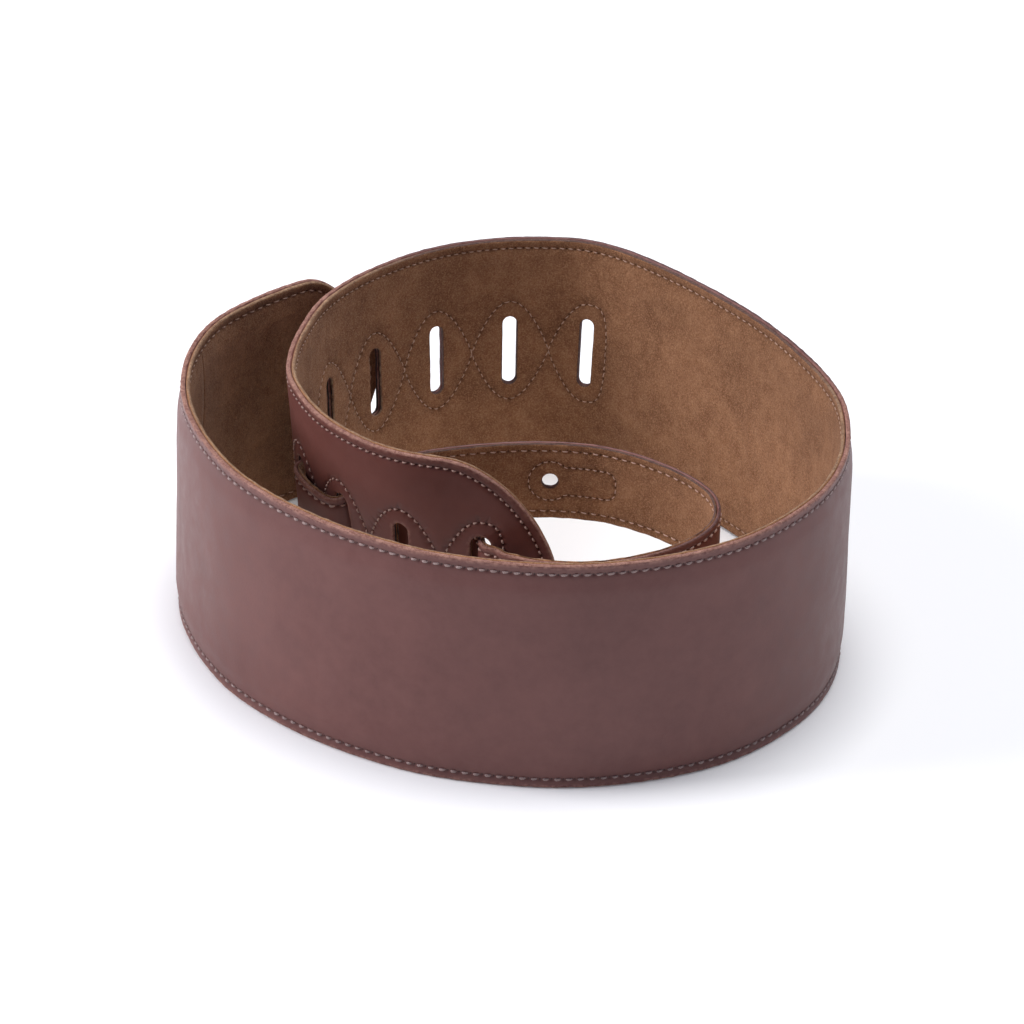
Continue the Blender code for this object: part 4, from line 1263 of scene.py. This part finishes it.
class StrapColours(bpy.types.PropertyGroup):
    leather: colour_setting("Leather", "Smooth leather", (0.144, 0.048, 0.040))
    leather_dark: colour_setting("Leather, dark", "Darker parts of that leather", (0.118, 0.036, 0.030))
    leather_worn: colour_setting("Leather, worn", "Smooth leather where it is rubbed", (0.23, 0.105, 0.088))
    # painted light: paler leather painted on the inside of the coil
    leather_lit: colour_setting("Leather, fresh", "Smooth leather where it is clean", (0.27, 0.10, 0.080))
    suede: colour_setting("Suede", "Brushed lining", (0.325, 0.152, 0.072))
    suede_light: colour_setting("Suede, light", "Lining brushed against its nap", (0.47, 0.245, 0.128))
    suede_dark: colour_setting("Suede, dark", "Lining brushed with its nap", (0.165, 0.068, 0.030))
    suede_sheen: colour_setting("Suede sheen", "Light caught by the nap", (0.80, 0.62, 0.50))
    edge: colour_setting("Cut edge", "Raw edge of the smooth leather", (0.46, 0.245, 0.185))
    edge_dark: colour_setting("Cut edge, dark", "Darker parts of that edge", (0.19, 0.075, 0.058))
    lining_edge: colour_setting("Lining edge", "Raw edge of the lining", (0.44, 0.27, 0.16))
    lining_edge_dark: colour_setting("Lining edge, dark", "Darker parts of that edge", (0.17, 0.085, 0.048))
    # colour that the raw edge is painted along the darkened stretches
    dye: colour_setting("Dyed edge", "Raw edge where dye has soaked in", (0.075, 0.038, 0.040))
    # painted shade: this dark colour is painted into needle holes, seam grooves, pits in the cut edges and
    # the punched walls
    hole: colour_setting("Needle hole", "Needle holes and the soil in seams", (0.020, 0.010, 0.008))
    thread: colour_setting("Thread", "Thread on the smooth side", (0.36, 0.255, 0.235))
    # painted shade between the plies, and each stitch's random darker tone
    thread_ply_shade_and_tone: colour_setting("Thread, dark", "That thread between its plies", (0.19, 0.12, 0.105))
    # painted light: paler thread painted on the inside of the coil
    thread_lit: colour_setting("Thread, fresh", "Thread where it is clean", (0.72, 0.47, 0.37))
    lining_thread: colour_setting("Lining thread", "Thread on the suede side", (0.66, 0.43, 0.31))
    # painted shade between the plies, and each stitch's random darker tone
    lining_thread_ply_shade_and_tone: colour_setting("Lining thread, dark", "That thread between its plies",
                                       (0.36, 0.20, 0.13))
    punched: colour_setting("Punched edge", "Walls of the slots and holes", (0.055, 0.030, 0.026))
    foam: colour_setting("Foam", "Pad inside the band", (0.62, 0.60, 0.54))
    foam_dark: colour_setting("Foam, dark", "Walls of the foam's cells", (0.45, 0.43, 0.38))


class StageSettings(bpy.types.PropertyGroup):
    distance: length_setting("Camera distance", "From the camera to the middle of the coil", 3.65)
    tilt: FloatProperty(name="Camera tilt", description="How far the camera looks down",
                        default=math.radians(29.5), subtype="ANGLE")
    roll: FloatProperty(name="Camera roll", description="How far the camera leans to one side",
                        default=math.radians(1.7), subtype="ANGLE")
    lens: FloatProperty(name="Lens", description="Focal length in millimetres", default=313.7, min=1.0)
    floor: colour_setting("Floor", "Plain floor round the strap", (0.86, 0.86, 0.86))


# Operators

class BandSkins(bpy.types.Operator):
    """Cut and bend the band's smooth leather and its suede lining."""
    bl_idname = "strap.band_skins"
    bl_label = "Band Skins"

    def execute(self, context):
        made = parts()
        skins = ((made.band_face, "smooth_skin"), (made.band_lining, "suede_skin"))
        cut_skins(made.band, skins, band_stretches(made.band))
        return {"FINISHED"}


class BandPads(bpy.types.Operator):
    """Lay the foam between the band's skins."""
    bl_idname = "strap.band_pads"
    bl_label = "Band Foam"

    def execute(self, context):
        band = parts().band
        sizes = context.scene.strap_sizes
        end = band.length - slot_from_tip(sizes, sizes.slot_count - 1) - FOAM_TO_SLOTS
        main = build_pad("body_foam", band, BAND_SPLIT + FOAM_GAP, end)
        dress(main, ("pad_foam",), ["body_foam_pad"], "strap")
        outer = build_pad("outer_end_foam", band, FOAM_FROM_TIP, BAND_SPLIT - FOAM_GAP)
        dress(outer, ("pad_foam",), ["outer_end_foam_pad"], "outer_end", band_flex(band))
        return {"FINISHED"}


class TailSkins(bpy.types.Operator):
    """Cut the tail's leather and suede, and weave them through the slots."""
    bl_idname = "strap.tail_skins"
    bl_label = "Tail Skins"

    def execute(self, context):
        made = parts()
        skins = ((made.tail_face, "smooth_skin"), (made.tail_lining, "suede_skin"))
        cut_skins(made.tail, skins, tail_stretches(made.tail))
        return {"FINISHED"}


class RimStitches(bpy.types.Operator):
    """Sew round the rim of the band."""
    bl_idname = "strap.rim_stitches"
    bl_label = "Band Rim Stitches"

    def execute(self, context):
        made = parts()
        names = {"body": ["body_rim"], "outer_end": ["outer_end_rim"]}
        sew(made.band_seams[0], made.band, (made.band_face, made.band_lining), band_stretches(made.band),
            names, 100)
        return {"FINISHED"}


class SlotStitches(bpy.types.Operator):
    """Sew the two crossing waves round the slots."""
    bl_idname = "strap.slot_stitches"
    bl_label = "Slot Stitches"

    def execute(self, context):
        made = parts()
        for seam, seed in zip(made.band_seams[1:], (200, 300)):
            sew(seam, made.band, (made.band_face, made.band_lining), band_stretches(made.band)[:1],
                {"body": [seam.name]}, seed)
        return {"FINISHED"}


class TailStitches(bpy.types.Operator):
    """Sew round the rim of the tail and round its button hole."""
    bl_idname = "strap.tail_stitches"
    bl_label = "Tail Stitches"

    def execute(self, context):
        made = parts()
        rim, keyhole = made.tail_seams
        skins, stretches = (made.tail_face, made.tail_lining), tail_stretches(made.tail)
        sew(rim, made.tail, skins, stretches, {"tail": ["tail_upper", "tail_lower"],
                                               "tail_end": ["tail_end_rim"]}, 400)
        sew(keyhole, made.tail, skins, stretches[1:], {"tail_end": ["keyhole"]}, 500)
        return {"FINISHED"}


class Stage(bpy.types.Operator):
    """Set out the floor, the lights and the camera."""
    bl_idname = "strap.stage"
    bl_label = "Stage"

    def execute(self, context):
        scene = context.scene
        settings = scene.strap_stage
        low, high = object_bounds()
        target = Vector((0.0002, -0.007, (low.z + high.z) / 2))
        lay_floor(settings)
        light_world(scene)
        add_lights(target)
        scene.camera = aim_camera(settings, target)
        scene.view_settings.view_transform = "Standard"
        return {"FINISHED"}


def lay_floor(settings):
    mesh = bpy.data.meshes.new("floor")
    mesh.from_pydata([(-6, -6, 0), (6, -6, 0), (6, 6, 0), (-6, 6, 0)], [], [(0, 1, 2, 3)])
    floor = add_piece(mesh)
    floor.location.z = -0.0002
    made, nodes, shader = new_material("plain_floor", 0.9, Specular_IOR_Level=0.1, Emission_Strength=0.08,
                                       Emission_Color=(1.0, 1.0, 1.0, 1.0))
    place = nodes.add("ShaderNodeTexCoord").outputs["Object"]
    tone = nodes.remap(nodes.noise(place, 1.5, 2.0, 0.5), 0.3, 0.7)
    paler = [min(x * 1.01, 1.0) for x in settings.floor]
    nodes.join(nodes.mix(tone, rgba(settings.floor), rgba(paler)), shader.inputs["Base Color"])
    mesh.materials.append(made)
    floor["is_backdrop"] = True


def light_world(scene):
    world = bpy.data.worlds.new("studio")
    world.use_nodes = True
    background = world.node_tree.nodes["Background"]
    background.inputs["Color"].default_value = (0.60, 0.68, 1.0, 1)
    background.inputs["Strength"].default_value = 0.19
    scene.world = world


# Soft boxes: name, place, where it points, width and height in metres, watts and colour
LIGHTS = (
    ("left_light", (-2.3, -0.1, 1.35), (0, 0, 0.05), (1.2, 1.2), 58.0, (0.96, 0.95, 1.0)),
    ("top_light", (0.2, 0.4, 4.0), (0, 0, 0), (2.2, 2.2), 160.0, (1.0, 1.0, 1.0)),
    ("right_light", (2.4, 0.5, 0.5), (0, 0, 0.05), (0.8, 1.2), 5.0, (0.82, 0.88, 1.0)),
)


def add_lights(target):
    for name, place, aim, size, power, colour in LIGHTS:
        data = bpy.data.lights.new(name, "AREA")
        data.shape = "RECTANGLE"
        data.size, data.size_y = size
        data.energy = power
        data.color = colour
        lamp = bpy.data.objects.new(name, data)
        lamp.location = target + Vector(place)
        lamp.rotation_euler = (Vector(aim) - Vector(place)).to_track_quat("-Z", "Y").to_euler()
        bpy.context.scene.collection.objects.link(lamp)


def aim_camera(settings, target):
    forward = Vector((0, math.cos(settings.tilt), -math.sin(settings.tilt)))
    level = Vector((1, 0, 0))
    upright = level.cross(forward)
    roll = settings.roll
    right = level * math.cos(roll) + upright * math.sin(roll)
    up = upright * math.cos(roll) - level * math.sin(roll)
    data = bpy.data.cameras.new("camera")
    data.sensor_width = 36.0
    data.lens = settings.lens
    data.clip_start, data.clip_end = 0.1, 30.0
    camera = bpy.data.objects.new("camera", data)
    turned = Matrix((right, up, -forward)).transposed().to_4x4()
    camera.matrix_world = Matrix.Translation(target - forward * settings.distance) @ turned
    bpy.context.scene.collection.objects.link(camera)
    return camera


OPERATORS = (BandSkins, BandPads, TailSkins, RimStitches, SlotStitches, TailStitches, Stage)
SETTINGS = {"strap_sizes": StrapSizes, "strap_stitches": StrapStitches, "strap_colours": StrapColours,
            "strap_stage": StageSettings}


class StrapPanel(bpy.types.Panel):
    """The strap's pieces and settings, in the sidebar."""
    bl_idname = "VIEW3D_PT_strap"
    bl_label = "Guitar Strap"
    bl_space_type = "VIEW_3D"
    bl_region_type = "UI"
    bl_category = "Strap"

    def draw(self, context):
        for operator in OPERATORS:
            self.layout.operator(operator.bl_idname)
        for name, group in SETTINGS.items():
            settings = getattr(context.scene, name)
            box = self.layout.box()
            for setting in group.__annotations__:
                box.prop(settings, setting)


def register():
    for kind in (*SETTINGS.values(), *OPERATORS, StrapPanel):
        bpy.utils.register_class(kind)
    for name, kind in SETTINGS.items():
        setattr(bpy.types.Scene, name, PointerProperty(type=kind))


def unregister():
    for name in SETTINGS:
        delattr(bpy.types.Scene, name)
    for kind in (StrapPanel, *OPERATORS[::-1], *reversed(SETTINGS.values())):
        bpy.utils.unregister_class(kind)


def write_sizes():
    """Brings the view layer up to date."""
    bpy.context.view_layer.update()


def main():
    register()
    bpy.ops.strap.band_skins()
    bpy.ops.strap.band_pads()
    bpy.ops.strap.tail_skins()
    bpy.ops.strap.rim_stitches()
    bpy.ops.strap.slot_stitches()
    bpy.ops.strap.tail_stitches()
    bpy.ops.strap.stage()
    write_sizes()


if __name__ == "__main__":
    main()
